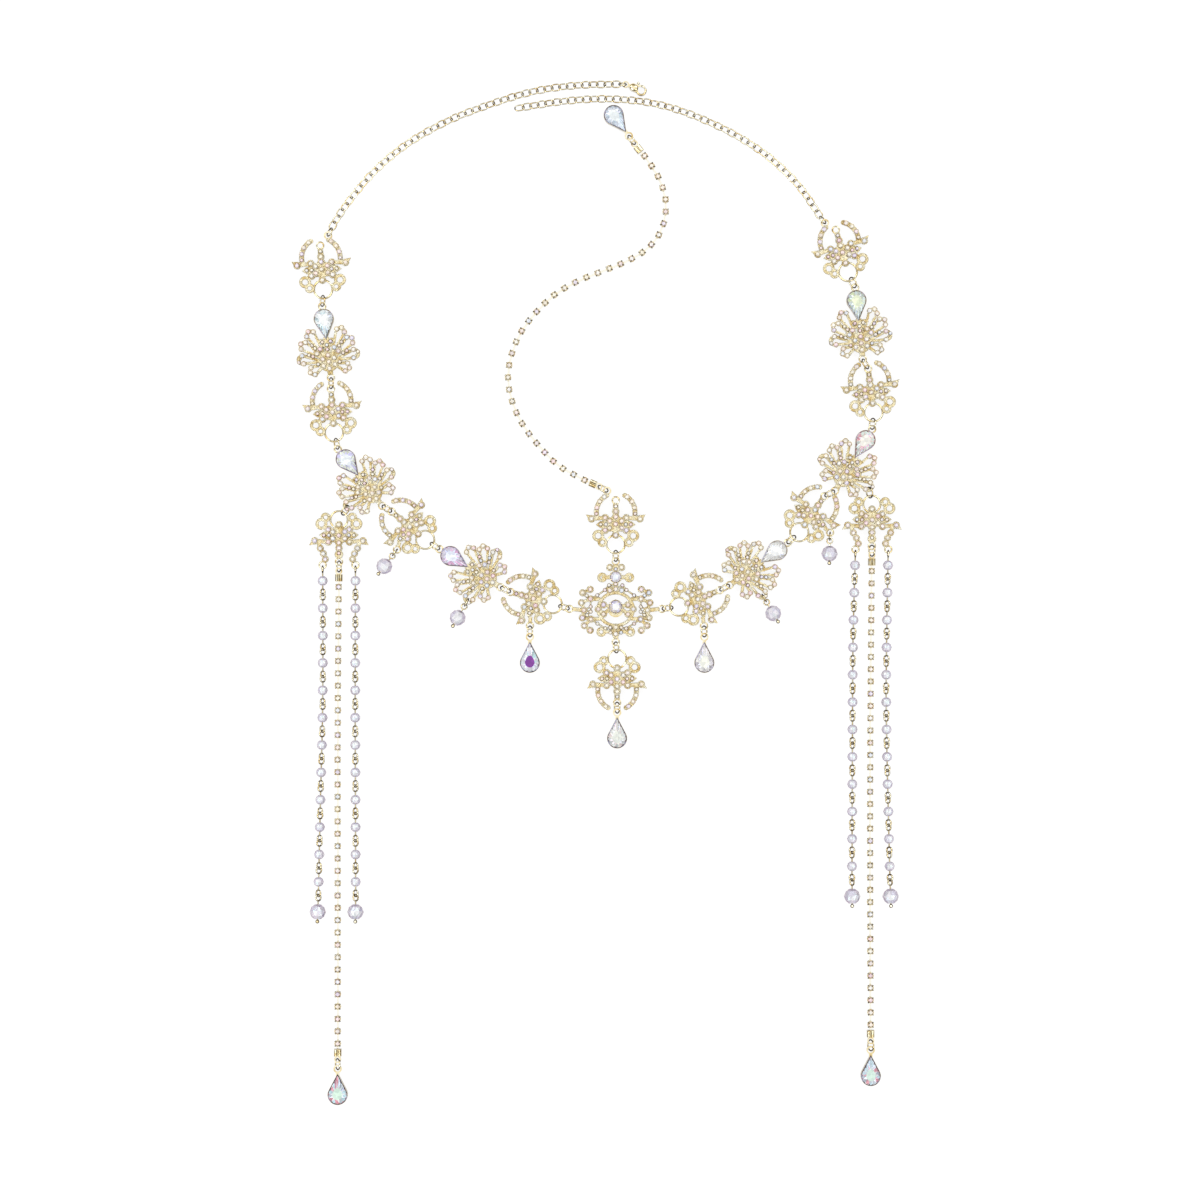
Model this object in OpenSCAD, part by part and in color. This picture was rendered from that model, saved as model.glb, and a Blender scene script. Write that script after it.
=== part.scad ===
/* [Small stone cups] */
// Outer radius of a small stone cup
cup_r = 1.0; // [0.9:0.05:1.05]
// Radius of the seat for the stone in a small cup
seat_r = 0.7; // [0.6:0.05:0.75]
// Height that a cup stands proud of the plate
cup_rise = 0.6; // [0.4:0.1:0.8]

/* [Plaques] */
// Thickness of the pierced plate
plate_t = 1.0; // [0.8:0.1:1.2]
// Thickness of the eyelets and loops that the jump rings hold
eye_t = 0.6; // [0.5:0.1:0.6]
// Radius of the hole in a joining eyelet
eyelet_r = 0.95; // [0.9:0.05:1.0]
// Width of the wall round an eyelet
eyelet_wall = 0.55; // [0.45:0.05:0.55]
// Radius of the boss behind a small plaque
small_boss_r = 2.4; // [2:0.1:2.8]
// Radius of the boss behind a large plaque
large_boss_r = 3.0; // [2.5:0.1:3.2]
// Middle radius of the big wire loop of a small plaque
loop_r = 3.3; // [3.25:0.01:3.35]
// Width of the wire of that loop
loop_wire = 0.7; // [0.6:0.05:0.75]
// Radius of the round end of an open petal
petal_r = 1.9; // [1.8:0.05:1.95]
// Radius of the opening in that end
petal_hole_r = 1.1; // [1.0:0.05:1.15]

/* [Cut stones] */
// Radius of the round end of a pear setting
pear_r = 3.6; // [3.5:0.05:3.65]
// Distance from the tip of a setting to the middle of its round end
pear_d = 7.7; // [7.5:0.05:7.7]
// Width of the setting's wall
pear_wall = 0.5; // [0.4:0.05:0.5]
// Radius of the setting of the stone in the middle of the eye plaque
centre_stone_r = 2.5; // [2.3:0.1:2.6]
// Radius of the setting of the round stone at its top
top_stone_r = 2.3; // [2.1:0.1:2.4]
// Height of a cut stone's table above its girdle
crown_h = 1.1; // [0.8:0.1:1.3]
// Depth of a cut stone below its girdle
pavilion_h = 0.9; // [0.7:0.1:0.9]

/* [Jump rings] */
// Diameter of the jump ring wire
ring_wire = 0.5; // [0.4:0.05:0.5]
// Middle radius of a jump ring
ring_r = 1.95; // [1.9:0.01:1.95]
// Lean of a jump ring
ring_lean = 62; // [60:1:62]

/* [Extension chains] */
// Outer length of a chain link
link_l = 3.8; // [3.8:0.05:3.9]
// Outer width of a chain link
link_w = 2.9; // [2.8:0.05:3]
// Diameter of the link wire
link_wire = 0.45; // [0.4:0.05:0.45]
// Lean of the links to one side and the other
link_lean = 30; // [30:1:32]
// Distance from one link to the next
link_pitch = 2.76; // [2.7:0.02:2.78]

/* [Bead strings] */
// Diameter of the small beads
bead_d = 4; // [3.9:0.05:4]
// Diameter of the end beads and of the bead drops
end_bead_d = 6; // [5.8:0.1:6]
// Diameter of the pin wire at the eyes
pin_wire = 0.6; // [0.5:0.05:0.6]
// Middle radius of the eye at the end of a pin
pin_eye_r = 1.15; // [1.13:0.01:1.17]
// Length of bare pin between a bead and its eye
pin_neck = 0.7; // [0.66:0.02:0.72]
// Number of small beads on a string
beads_on_string = 12; // [4:1:12]

/* [Cup chains] */
// Outer radius of a cup in the cup chains
chain_cup_r = 1.2; // [1.1:0.05:1.25]
// Radius of the seat in such a cup
chain_seat_r = 0.85; // [0.75:0.05:0.9]
// Distance from one cup to the next
chain_pitch = 4.4; // [4.2:0.1:4.6]
// Width of the bar between two cups
chain_bar_w = 0.7; // [0.6:0.05:0.8]

/* [Clasp] */
// Thickness of the clasp's body
clasp_t = 2.2; // [2.2:0.1:2.4]
// Outer radius of the clasp's hook
hook_r = 1.95; // [1.9:0.05:2]
// Radius of the opening inside the hook
hook_hole_r = 1.25; // [1.2:0.05:1.25]
// Radius of the rivet that the lever turns on
rivet_r = 0.3; // [0.25:0.05:0.3]

/* [Hidden] */
// Columns of the tables of plaques
NAME = 0;
PLACE = 1;
TURN = 2;
EXTRA = 3;

// Small plaques: node, place of the centre stone, turn, middle of an added eyelet
SMALL = [
    ["left_small_1", [-98.9, 116.3], 4, [3.1, 12.0]],
    ["left_small_2", [-95, 64.8], 4, undef],
    ["left_small_3", [-67.2, 23.6], 50, [-9.2, -1.7]],
    ["left_small_4", [-22.7, -2.2], 74, [-9.8, -1.5]],
    ["crown_plaque", [6.9, 24.6], 0, [-3.1, 12.0]],
    ["brow_plaque", [7.4, -31.1], 180, undef],
    ["right_small_4", [36.4, -2.4], -68, [9.8, -1.5]],
    ["right_small_3", [77.1, 27.6], -35, [9.2, -1.0]],
    ["right_small_2", [98.8, 72.0], 7, undef],
    ["right_small_1", [88.5, 122.3], 16, [-3.1, 12.0]]
];
// Large plaques: node, place of the hub, turn, node of its pear stone
LARGE = [
    ["left_large_1", [-96.3, 83.0], 7, "left_pear_1"],
    ["left_large_2", [-80.7, 35.7], 38, "left_pear_2"],
    ["left_large_3", [-39.4, 4.9], 58, "left_pear_3"],
    ["right_large_3", [52.5, 6.0], -54, "right_pear_3"],
    ["right_large_2", [88.8, 41.5], -31, "right_pear_2"],
    ["right_large_1", [95.2, 89.7], 6, "right_pear_1"]
];
// Heads of the two tassels: node, place of the centre stone, turn
HEADS = [
    ["left_tassel_head", [-92.7, 20.5], 180],
    ["right_tassel_head", [99.1, 26.1], 180]
];
// The plaque in the middle of the brow: node, place, turn
EYE = [["eye_plaque", [6.9, -6.0], 0]];
// Pear drops: where they hang, place of the setting's tip, turn from pointing up
DROPS = [
    ["brow_left", [-24, -17.6], 180],
    ["brow_middle", [7.4, -44.8], 180],
    ["brow_right", [38.8, -17.6], 180],
    ["left_tassel", [-93.2, -173.1], 180],
    ["right_tassel", [98.7, -166.3], 180],
    ["crown_chain", [10.7, 165.6], 36]
];
// Strings of beads: where, and the points that the string runs through
STRINGS = [
    ["left_outer", [[-98.6, 9.5], [-98.6, -38.7], [-99.4, -74.7], [-100.5, -124]]],
    ["left_inner", [[-86.8, 9.5], [-86.9, -38.7], [-86.8, -74.7], [-86.7, -124]]],
    ["right_inner", [[93.2, 15.1], [92.3, -20], [92.1, -60], [91.9, -118]]],
    ["right_outer", [[105, 15.1], [104.4, -20], [104.4, -50], [106, -118]]]
];
// Route of the chain on the left, from the plaque to the clasp
LEFT_CHAIN = [
    [-95.6, 130.9], [-90.6, 139.2], [-79.8, 152.1], [-67.2, 162.4], [-52.8, 170.3], [-42, 174.6],
    [-34.8, 177.1], [-27, 179.5], [-19, 181.3], [-10.7, 182.4], [-2.6, 183], [8.4, 183.1]
];
// Route of the chain on the right, from the plaque to its free end
RIGHT_CHAIN = [
    [80.7, 135.1], [73.2, 146.2], [62.4, 156.7], [49.8, 165], [37.2, 171], [27.2, 174.6],
    [19.1, 176.5], [11.1, 177.5], [2.8, 177.9], [-5.5, 177.6], [-13.7, 176.8], [-21.8, 175.6], [-29.1, 174.4]
];
// Route of the cup chain above the crown plaque, first and last point inside its end pieces
CROWN_CHAIN = [
    [-1.4, 39.2], [-5, 40.8], [-13.7, 45.7], [-20.1, 52.1], [-25.9, 59.4], [-30, 67.6],
    [-31.9, 76.7], [-30.6, 85.7], [-27, 94], [-21.4, 101.3], [-14.6, 107.6], [-6.5, 112.2],
    [2.1, 115.7], [10.7, 119.2], [18.4, 123.9], [23.4, 130.7], [25, 139.6], [22.9, 148.2],
    [18.4, 155.6], [15.2, 159.6]
];
// Routes of the cup chains in the tassels
LEFT_CUPS = [[-92.8, 5.2], [-93.2, -50], [-93.2, -110], [-93.2, -165.6]];
RIGHT_CUPS = [[99.1, 10.9], [98.6, -45], [98.5, -100], [98.7, -158.8]];

// Middle height of the eyelets, the jump rings and the strings' pins
eye_z = 2.0;
// Small clear space between two pieces
gap = 0.12;
plate_z = eye_z - plate_t / 2;
plate_top = eye_z + plate_t / 2;
girdle_z = 2.3;
setting_top = girdle_z + 0.35;
seat_z = girdle_z - pavilion_h - gap;
round_seat_z = 1.7;
// Cup chains lie low, and so do the extension chains and the clasp
cup_chain_z = 1.1;
chain_z = (link_w - link_wire) / 2 * sin(link_lean) + link_wire / 2 + 0.01;

// Stones of a small plaque: the right half, and the middle
small_pairs = [[2.15, 1.1], [3.8, 2.3], [2.15, -1.35], [3.8, -2.2], [8.7, 1.9]];
small_middle = [[0, 0], [0, -3.9], [0, 2.6], [0, 4.5]];
arm_middle = [0, 4.2];
arm_r = 6.95;
arm_w = 1.5;
arm_end = 62;
arm_cups = [14, 34, 54];
bar_root_up = [3.3, 10.3];
bar_root_side = [6.6, -0.7];
scroll_outer = [6.3, -4.2];
scroll_inner = [4.8, -6.5];
stem_eyelet = [0, 8.6];
// Middle of the big loop, on a plaque of the row and on the head of a tassel
row_loop = [0, -7.2];
head_loop = [0, -5.7];
head_loop_r = loop_r - 0.2;
head_string_eyelet = [5.9, 10.6];
head_cup_eyelet = [0, 9.4];
head_arm = [[6.7, 4.6], [5.6, 6.5], [4.9, 8.5]];

// Petals on one side of a large plaque: turn from the pear stone, reach, turns of its cups
PETALS = [
    [27.5, 11.6, [-75, 0, 75]],
    [51, 10.4, [-75, 0, 75]],
    [79, 9.6, [-115, 85]],
    [113.7, 6.2, [-75, 0, 75]]
];
pear_tip = 7.9;
pear_eyelet = [0, 20.2];
hub_eyelet = [0, -5.7];
hub_stones = [for (a = [30:60:330]) 2.4 * [cos(a), sin(a)]];
curl = [1.9, 6.9];

// Eye plaque: lids are two arcs that meet at the corners
lid_r = 6.42;
lid_shift = 0.52;
lid_w = 0.9;
eye_side = [[6.3, 0], [4.4, 1.6], [4.4, -1.8]];
eye_wing = [[9.2, 7.1], [11.9, 5.9], [9.1, 3.7], [12.3, 2.3], [11.4, -0.4], [12.0, -3.1],
    [8.9, -3.6], [11.3, -5.9], [9.2, -7.6]];
eye_middle = [[0, 7.2], [0, -6.5], [0, -8.9]];
eye_pairs = [[2.1, 15.0], [2.1, 6.7]];
eye_curls = [[4.9, 11.4], [5.2, -8.2]];
centre_stone = [0, 0.9];
top_stone = [0, 11.6];
eye_side_eyelet = [16.7, 0.1];
eye_top_eyelet = [0, 17.2];
eye_low_eyelet = [0, -11.8];

function turned(p, a) = [p[0] * cos(a) - p[1] * sin(a), p[0] * sin(a) + p[1] * cos(a)];
function mirrored(points) = [for (p = points) [-p[0], p[1]]];
function around(middle, r, a) = [middle[0] + r * cos(a), middle[1] + r * sin(a)];
function lifted(p, z) = [p[0], p[1], z];
function unit(v) = v / norm(v);
function row(table, name) = [for (p = table) if (p[NAME] == name) p][0];
// A point of a plaque, in the frame of the whole
function on(table, name, p) =
    let (found = row(table, name))
    lifted(found[PLACE] + turned(p, found[TURN]), eye_z);
// Middle of the eyelet that is added to a small plaque
function added_eyelet(name) = on(SMALL, name, row(SMALL, name)[EXTRA]);

// Smooth curve through the points, with this many steps between two of them
curve_steps = 6;
function curve_point(a, b, c, d, t) =
    ((2 * b) + (c - a) * t + (2 * a - 5 * b + 4 * c - d) * t * t + (3 * b - a - 3 * c + d) * t * t * t) / 2;
function curve(p) =
    let (last = len(p) - 1)
    concat(
        [for (i = [0:last - 1], k = [0:curve_steps - 1])
            curve_point(p[max(i - 1, 0)], p[i], p[i + 1], p[min(i + 2, last)], k / curve_steps)],
        [p[last]]
    );
// Length of the line from its start to each of its points
function lengths(p, i = 0, sum = 0) =
    let (now = sum + (i == 0 ? 0 : norm(p[i] - p[i - 1])))
    i == len(p) - 1 ? [now] : concat([now], lengths(p, i + 1, now));
// Points along a curve at the given distances from its start
function along(points, distances) =
    let (line = curve(points))
    let (at = lengths(line))
    let (xs = [for (i = [0:len(line) - 1]) [at[i], line[i][0]]])
    let (ys = [for (i = [0:len(line) - 1]) [at[i], line[i][1]]])
    [for (s = distances) [lookup(s, xs), lookup(s, ys)]];
function whole_length(points) = let (at = lengths(curve(points))) at[len(at) - 1];

// Eyelet of the setting of a pear drop
drop_eyelet = [0, -1.6];
// End pieces of the cup chains: a route's end point and the point before it
end_reach = 2.5;
first_cup = 3.2;
CUP_ENDS = [for (r = [CROWN_CHAIN, LEFT_CUPS, RIGHT_CUPS])
    each [[r[0], r[1]], [r[len(r) - 1], r[len(r) - 2]]]];
function end_eyelet(e) = lifted(e[0] + end_reach * unit(e[0] - e[1]), eye_z);

// Ring between two holes: the points where its wire passes, so that it has the radius r.
// Each hole has a middle and, for a big loop, a reach towards the other hole.
function ring_between(a, reach_a, b, reach_b, r) =
    let (u = unit(b - a))
    let (spare = (norm(b - a) - reach_a - reach_b) / 2 - r)
    [a + (reach_a + spare) * u, b - (reach_b + spare) * u];

loop_reach = 2.2;
head_reach = 2.0;
petal_hole = [9.42, 1.83];
left_petal_hole = [-petal_hole[0], petal_hole[1]];
eye_left_eyelet = [-eye_side_eyelet[0], eye_side_eyelet[1]];
// Holes that jump rings join, with the reach of each
JOINED = [
    [on(SMALL, "left_small_1", row_loop), loop_reach, on(LARGE, "left_large_1", pear_eyelet), 0],
    [on(LARGE, "left_large_1", hub_eyelet), 0, on(SMALL, "left_small_2", stem_eyelet), 0],
    [on(SMALL, "left_small_2", row_loop), loop_reach, on(LARGE, "left_large_2", pear_eyelet), 0],
    [on(LARGE, "left_large_2", hub_eyelet), 0, on(SMALL, "left_small_3", stem_eyelet), 0],
    [on(SMALL, "left_small_3", row_loop), loop_reach, on(LARGE, "left_large_3", pear_eyelet), 0],
    [on(LARGE, "left_large_3", hub_eyelet), 0, on(SMALL, "left_small_4", stem_eyelet), 0],
    [on(SMALL, "left_small_4", row_loop), loop_reach, on(EYE, "eye_plaque", eye_left_eyelet), 0],
    [on(SMALL, "crown_plaque", row_loop), loop_reach, on(EYE, "eye_plaque", eye_top_eyelet), 0],
    [on(SMALL, "brow_plaque", row_loop), loop_reach, on(EYE, "eye_plaque", eye_low_eyelet), 0],
    [on(SMALL, "right_small_4", row_loop), loop_reach, on(EYE, "eye_plaque", eye_side_eyelet), 0],
    [on(SMALL, "right_small_4", stem_eyelet), 0, on(LARGE, "right_large_3", hub_eyelet), 0],
    [on(SMALL, "right_small_3", row_loop), loop_reach, on(LARGE, "right_large_3", pear_eyelet), 0],
    [on(SMALL, "right_small_3", stem_eyelet), 0, on(LARGE, "right_large_2", hub_eyelet), 0],
    [on(SMALL, "right_small_2", row_loop), loop_reach, on(LARGE, "right_large_2", pear_eyelet), 0],
    [on(SMALL, "right_small_2", stem_eyelet), 0, on(LARGE, "right_large_1", hub_eyelet), 0],
    [on(SMALL, "right_small_1", row_loop), loop_reach, on(LARGE, "right_large_1", pear_eyelet), 0],
    [on(HEADS, "left_tassel_head", head_loop), head_reach, on(LARGE, "left_large_2", left_petal_hole), 0],
    [on(LARGE, "right_large_2", petal_hole), 0, on(HEADS, "right_tassel_head", head_loop), head_reach],
    [added_eyelet("left_small_4"), 0, on(DROPS, "brow_left", drop_eyelet), 0],
    [on(SMALL, "brow_plaque", stem_eyelet), 0, on(DROPS, "brow_middle", drop_eyelet), 0],
    [added_eyelet("right_small_4"), 0, on(DROPS, "brow_right", drop_eyelet), 0],
    [added_eyelet("crown_plaque"), 0, end_eyelet(CUP_ENDS[0]), 0],
    [on(HEADS, "left_tassel_head", head_cup_eyelet), 0, end_eyelet(CUP_ENDS[2]), 0],
    [on(HEADS, "right_tassel_head", head_cup_eyelet), 0, end_eyelet(CUP_ENDS[4]), 0],
    [end_eyelet(CUP_ENDS[1]), 0, on(DROPS, "crown_chain", drop_eyelet), 0],
    [end_eyelet(CUP_ENDS[3]), 0, on(DROPS, "left_tassel", drop_eyelet), 0],
    [end_eyelet(CUP_ENDS[5]), 0, on(DROPS, "right_tassel", drop_eyelet), 0]
];

// Clasp
clasp_place = [10.5, 182.95];
clasp_turn = -21;
clasp_eye_z = 1.5;
hook_middle = [6.0, 0];
mouth_from = 42;
mouth_to = 190;
pivot = [3.5, 0.45];
lever_t = 0.7;
lever_root_r = 0.7;
lever_reach = 3.6;
lever_w = 0.7;
lever_way = [[0, 0], [1.1, 0.85], [2.5, 1.2], [4, 0.65]];
nub = [0.6, 1.65];
nub_r = 0.5;

// Extension chains rise to the plaques and to the clasp from where they lie
chain_slope = 0.11;
chain_starts_up = 1.0;
chain_ends_up = 0.6;
// Distance from the end of a route to where a ring passes through the first link
ring_in_link = 0.38;
function chain_height(s, whole, ends_up) =
    chain_z + max(0, chain_starts_up - chain_slope * s, ends_up - chain_slope * (whole - s));
function chain_point(route, s, ends_up) =
    lifted(along(route, [s])[0], chain_height(s, whole_length(route), ends_up));
// Points where a ring passes through a hole and through a link
ring_in_hole = 0.2;
function from_hole(hole, point) = [hole - ring_in_hole * unit(point - hole), point];
left_end = whole_length(LEFT_CHAIN) - ring_in_link;
// Rings of the extension chains: where they pass, and the side that they lean to
CHAIN_RINGS = [
    [from_hole(added_eyelet("left_small_1"), chain_point(LEFT_CHAIN, ring_in_link, chain_ends_up)), -1],
    [from_hole(added_eyelet("right_small_1"), chain_point(RIGHT_CHAIN, ring_in_link, 0)), 1],
    [from_hole(lifted(clasp_place, clasp_eye_z), chain_point(LEFT_CHAIN, left_end, chain_ends_up)), 1]
];

// Pins: from the middle of a bead to the middle of its eye, and between two joined eyes
shank_r = 0.25;
eye_reach = bead_d / 2 + pin_neck + pin_wire / 2 + pin_eye_r;
eye_step = 2 * pin_eye_r - pin_wire - 0.15;
end_bead_reach = end_bead_d / 2 + pin_neck + pin_wire / 2 + pin_eye_r;
end_slope = asin((end_bead_d / 2 - eye_z) / end_bead_reach);

// Eyes of the bead drops, and how far a ring passes inside them
drop_eye_r = 1.0;
drop_wire = 0.5;
drop_neck = 0.5;
in_drop_eye = 0.2;
bead_drop_reach = end_bead_d / 2 + drop_neck + drop_wire / 2 + drop_eye_r;
bead_drop_slope = asin((end_bead_d / 2 - eye_z) / bead_drop_reach);
// Bead drops: hole that each hangs from, way that it lies, radius of its ring, place of the ring
BEAD_DROPS = [
    [added_eyelet("left_small_3"), -127, 1.45, -0.2],
    [on(LARGE, "left_large_3", left_petal_hole), -120, 1.55, 0.1],
    [on(LARGE, "right_large_3", petal_hole), -60, 1.55, 0.1],
    [added_eyelet("right_small_3"), -92, 1.45, -0.2]
];
function way(d) = [cos(d[1]), sin(d[1]), 0];
function bead_drop_ring(d) = [d[0] + d[3] * way(d), d[0] + (d[3] + 2 * d[2]) * way(d)];

// Flat ring between two radii
module annulus(outer, inner) {
    difference() {
        circle(outer);
        circle(inner);
    }
}

// Flat drop: a point at the origin and a round end along Y
module teardrop(d, r) {
    a = asin(r / d);
    translate([0, d]) circle(r);
    polygon([[0, 0], [r * cos(a), d - r * sin(a)], [-r * cos(a), d - r * sin(a)]]);
}

// Petal: a drop whose sides end a little inside its round end
petal_tuck = 0.96;
module petal(d, r) {
    a = asin(r / d);
    translate([0, d]) circle(r);
    corner = [petal_tuck * r * cos(a), d - petal_tuck * r * sin(a)];
    polygon([[0, 0], corner, [-corner[0], corner[1]]]);
}

// Drop drawn in by a width all round
module inner_teardrop(d, r, width) {
    translate([0, width * d / r]) teardrop(d * (r - width) / r, r - width);
}

// Flat bar from one point to another
module bar(from, to, w) {
    d = to - from;
    translate(from) rotate(atan2(d[1], d[0])) translate([0, -w / 2]) square([norm(d), w]);
}

// Flat part of a ring, under half a turn
module arc_band(outer, inner, from, to) {
    far = outer * 3;
    intersection() {
        annulus(outer, inner);
        polygon([[0, 0], far * [cos(from), sin(from)],
            far * [cos((from + to) / 2), sin((from + to) / 2)], far * [cos(to), sin(to)]]);
    }
}

// The children and their mirror image across the middle
module both_sides() {
    children();
    mirror([1, 0, 0]) children();
}

// Equal discs at the points
module discs(points, r) {
    for (p = points) translate(p) circle(r);
}

// Pierced plate with the outline of the children
module plate() {
    translate([0, 0, plate_z]) linear_extrude(plate_t) children();
}

// Raised cups on top of the plate, each with a seat for a stone
module cups(points) {
    translate([0, 0, plate_top - 0.1]) linear_extrude(cup_rise + 0.1) {
        for (p = points) translate(p) annulus(cup_r, seat_r);
    }
}

// Thin flat ring at the height that the jump rings hold
module loop(middle, outer, inner) {
    translate([middle[0], middle[1], eye_z - eye_t / 2]) linear_extrude(eye_t) annulus(outer, inner);
}

// Small eyelet of the joining size
module eyelet(middle) {
    loop(middle, eyelet_r + eyelet_wall, eyelet_r);
}

// The children, turned and moved to their place on the whole
module placed(place, turn) {
    translate([place[0], place[1], 0]) rotate(turn) children();
}

// What the small plaques and the heads of the tassels share
module small_body() {
    plate() {
        circle(small_boss_r + 0.5);
        discs(small_middle, cup_r + 0.2);
        bar([0, 3], [0, 6.4], 1.7);
        both_sides() {
            discs(small_pairs, cup_r + 0.2);
            polygon([[2, 1], [5.6, 0.9], [7, -0.2], [5.4, -1.3], [2, -1]]);
            bar([3.8, 2.3], [8.7, 1.9], 1.2);
            polygon([[8.9, 0.9], [10.7, 3.4], [8.2, 2.9]]);
            bar([3.8, -2.2], [5.2, -3.1], 1.4);
            translate(scroll_outer) annulus(2.0, 1.15);
            translate(scroll_inner) annulus(1.6, 0.85);
        }
    }
    cylinder(r = small_boss_r, h = eye_z);
    cups(concat(small_middle, small_pairs, mirrored(small_pairs)));
}

// Small plaque of the row, with or without an added eyelet on a short bar
module small_plaque(added) {
    arm = [for (a = arm_cups) around(arm_middle, arm_r, a)];
    color("gold") {
        small_body();
        plate() {
            bar([0, 6], [0, 7.5], 1.7);
            both_sides() {
                translate(arm_middle) arc_band(arm_r + arm_w / 2, arm_r - arm_w / 2, -18, arm_end);
                translate(around(arm_middle, arm_r, arm_end)) circle(arm_w / 2);
            }
        }
        cups(concat(arm, mirrored(arm)));
        loop(row_loop, loop_r + loop_wire / 2, loop_r - loop_wire / 2);
        eyelet(stem_eyelet);
        if (added != undef) {
            root = added[1] > 0 ? bar_root_up : bar_root_side;
            from = [sign(added[0]) * root[0], root[1]];
            eyelet(added);
            plate() bar(from, added + (eyelet_r + 0.2) * unit(from - added), 1.1);
        }
    }
}

// Head of a tassel, with eyelets for its two strings and its cup chain
module tassel_head() {
    arm = head_arm;
    color("gold") {
        small_body();
        plate() {
            circle(cup_r + 0.2);
            translate([0, 6.8]) circle(1.4);
            both_sides() {
                bar([7.4, 2.2], arm[0], 1.3);
                bar(arm[0], arm[1], 1.3);
                bar(arm[1], arm[2], 1.3);
                discs(arm, cup_r + 0.1);
            }
        }
        cups(concat(arm, mirrored(arm)));
        loop(head_loop, head_loop_r + loop_wire / 2, head_loop_r - loop_wire / 2);
        eyelet(head_cup_eyelet);
        both_sides() eyelet(head_string_eyelet);
    }
}

// Cup that holds a pear stone, its tip at the origin and its round end along Y
module pear_setting(floor_z) {
    translate([0, 0, floor_z]) linear_extrude(seat_z - floor_z) teardrop(pear_d, pear_r);
    translate([0, 0, seat_z]) linear_extrude(setting_top - seat_z) {
        difference() {
            teardrop(pear_d, pear_r);
            inner_teardrop(pear_d, pear_r, pear_wall);
        }
    }
}

// Large plaque: open petals with stone rims round a pear stone and a hub
module large_plaque() {
    rims = [for (p = PETALS, a = p[2]) around([p[1] * sin(p[0]), p[1] * cos(p[0])],
        (petal_r + petal_hole_r) / 2, 90 - p[0] + a)];
    stones = concat([[3.9, 3.4], [2.6, 4.9]], rims);
    color("gold") {
        plate() {
            difference() {
                union() {
                    circle(large_boss_r + 0.4);
                    for (p = PETALS) both_sides() rotate(-p[0]) petal(p[1], petal_r);
                    bar([0, 2], [0, pear_tip + 0.9], 1.8);
                    both_sides() translate(curl) circle(1.5);
                    bar([0, -3], [0, -4.5], 1.8);
                }
                for (p = PETALS) {
                    root = 1.5 + 0.3 * p[1];
                    both_sides() rotate(-p[0]) translate([0, root]) petal(p[1] - root, petal_hole_r);
                }
                both_sides() translate(curl) circle(0.65);
            }
        }
        cylinder(r = large_boss_r, h = eye_z);
        translate([0, pear_tip, 0]) pear_setting(0.6);
        cups(concat(hub_stones, [[0, 0]], stones, mirrored(stones)));
        eyelet(pear_eyelet);
        eyelet(hub_eyelet);
    }
}

// Open cup for a round stone, let into the plate
module round_setting(middle, r) {
    translate(lifted(middle, round_seat_z - 0.7)) cylinder(r = r, h = 0.7);
    translate(lifted(middle, round_seat_z)) linear_extrude(plate_top + cup_rise - round_seat_z)
        annulus(r, r - pear_wall);
}

// Space between the two lids of the eye
module lid_outline(grow) {
    intersection() {
        translate([0, lid_shift]) circle(lid_r + grow);
        translate([0, -lid_shift]) circle(lid_r + grow);
    }
}

// Outline of the eye plaque: lids, wings, curls and what joins them
module eye_outline(stones) {
    difference() {
        lid_outline(lid_w / 2);
        lid_outline(-lid_w / 2);
    }
    discs(eye_middle, cup_r + 0.2);
    bar([0, 6], [0, 10], 1.6);
    bar([0, 13], [0, 16], 1.6);
    bar([0, -6], [0, -10.6], 1.6);
    both_sides() {
        discs(stones, cup_r + 0.15);
        for (i = [1:len(eye_wing) - 1]) bar(eye_wing[i - 1], eye_wing[i], 0.9);
        bar([5.5, 3.6], eye_wing[2], 1.1);
        bar([5.5, -3.4], eye_wing[6], 1.1);
        bar([1.8, 0.9], eye_side[1], 1.0);
        bar([1.8, 0.3], eye_side[2], 1.0);
        bar(eye_side[1], eye_side[0], 1.2);
        bar(eye_side[2], eye_side[0], 1.2);
        bar([0, 7.2], eye_pairs[1], 1.2);
        bar(top_stone, [4.9, 11.4], 1.2);
        bar([0, 14.2], eye_pairs[0], 1.2);
        bar([0, -7.8], [4.2, -8.2], 1.0);
        bar(eye_wing[4], [15.5, 0.05], 1.2);
        for (c = eye_curls) translate(c) annulus(1.6, 0.75);
    }
}

// Plaque in the middle of the brow, with seats for two round stones
module eye_plaque() {
    stones = concat(eye_side, eye_wing, eye_pairs);
    color("gold") {
        plate() difference() {
            eye_outline(stones);
            translate(centre_stone) circle(centre_stone_r - 0.2);
            translate(top_stone) circle(top_stone_r - 0.2);
        }
        round_setting(centre_stone, centre_stone_r);
        round_setting(top_stone, top_stone_r);
        cylinder(r = centre_stone_r + 0.4, h = round_seat_z - 0.2);
        cups(concat(eye_middle, stones, mirrored(stones)));
        both_sides() eyelet(eye_side_eyelet);
        eyelet(eye_top_eyelet);
        eyelet(eye_low_eyelet);
    }
}

// Outline of a pear stone in the frame of its setting, from the tip round to the tip
outline_steps = 10;
round_steps = 12;
function pear_outline(d, r) =
    let (a = asin(r / d))
    let (side = [r * cos(a), d - r * sin(a)])
    concat(
        [[0, 0], side / 2],
        [for (i = [0:outline_steps]) around([0, d], r, -a + i * (180 + 2 * a) / outline_steps)],
        [[-side[0] / 2, side[1] / 2]]
    );
function round_outline(r, n) = [for (i = [0:n - 1]) r * [cos(i * 360 / n), sin(i * 360 / n)]];

// Levels of a cut stone: share of the outline's size, share of the crown's height
CROWN = [[1, -0.12], [1, 0.06], [0.82, 0.62], [0.56, 1]];
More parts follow.
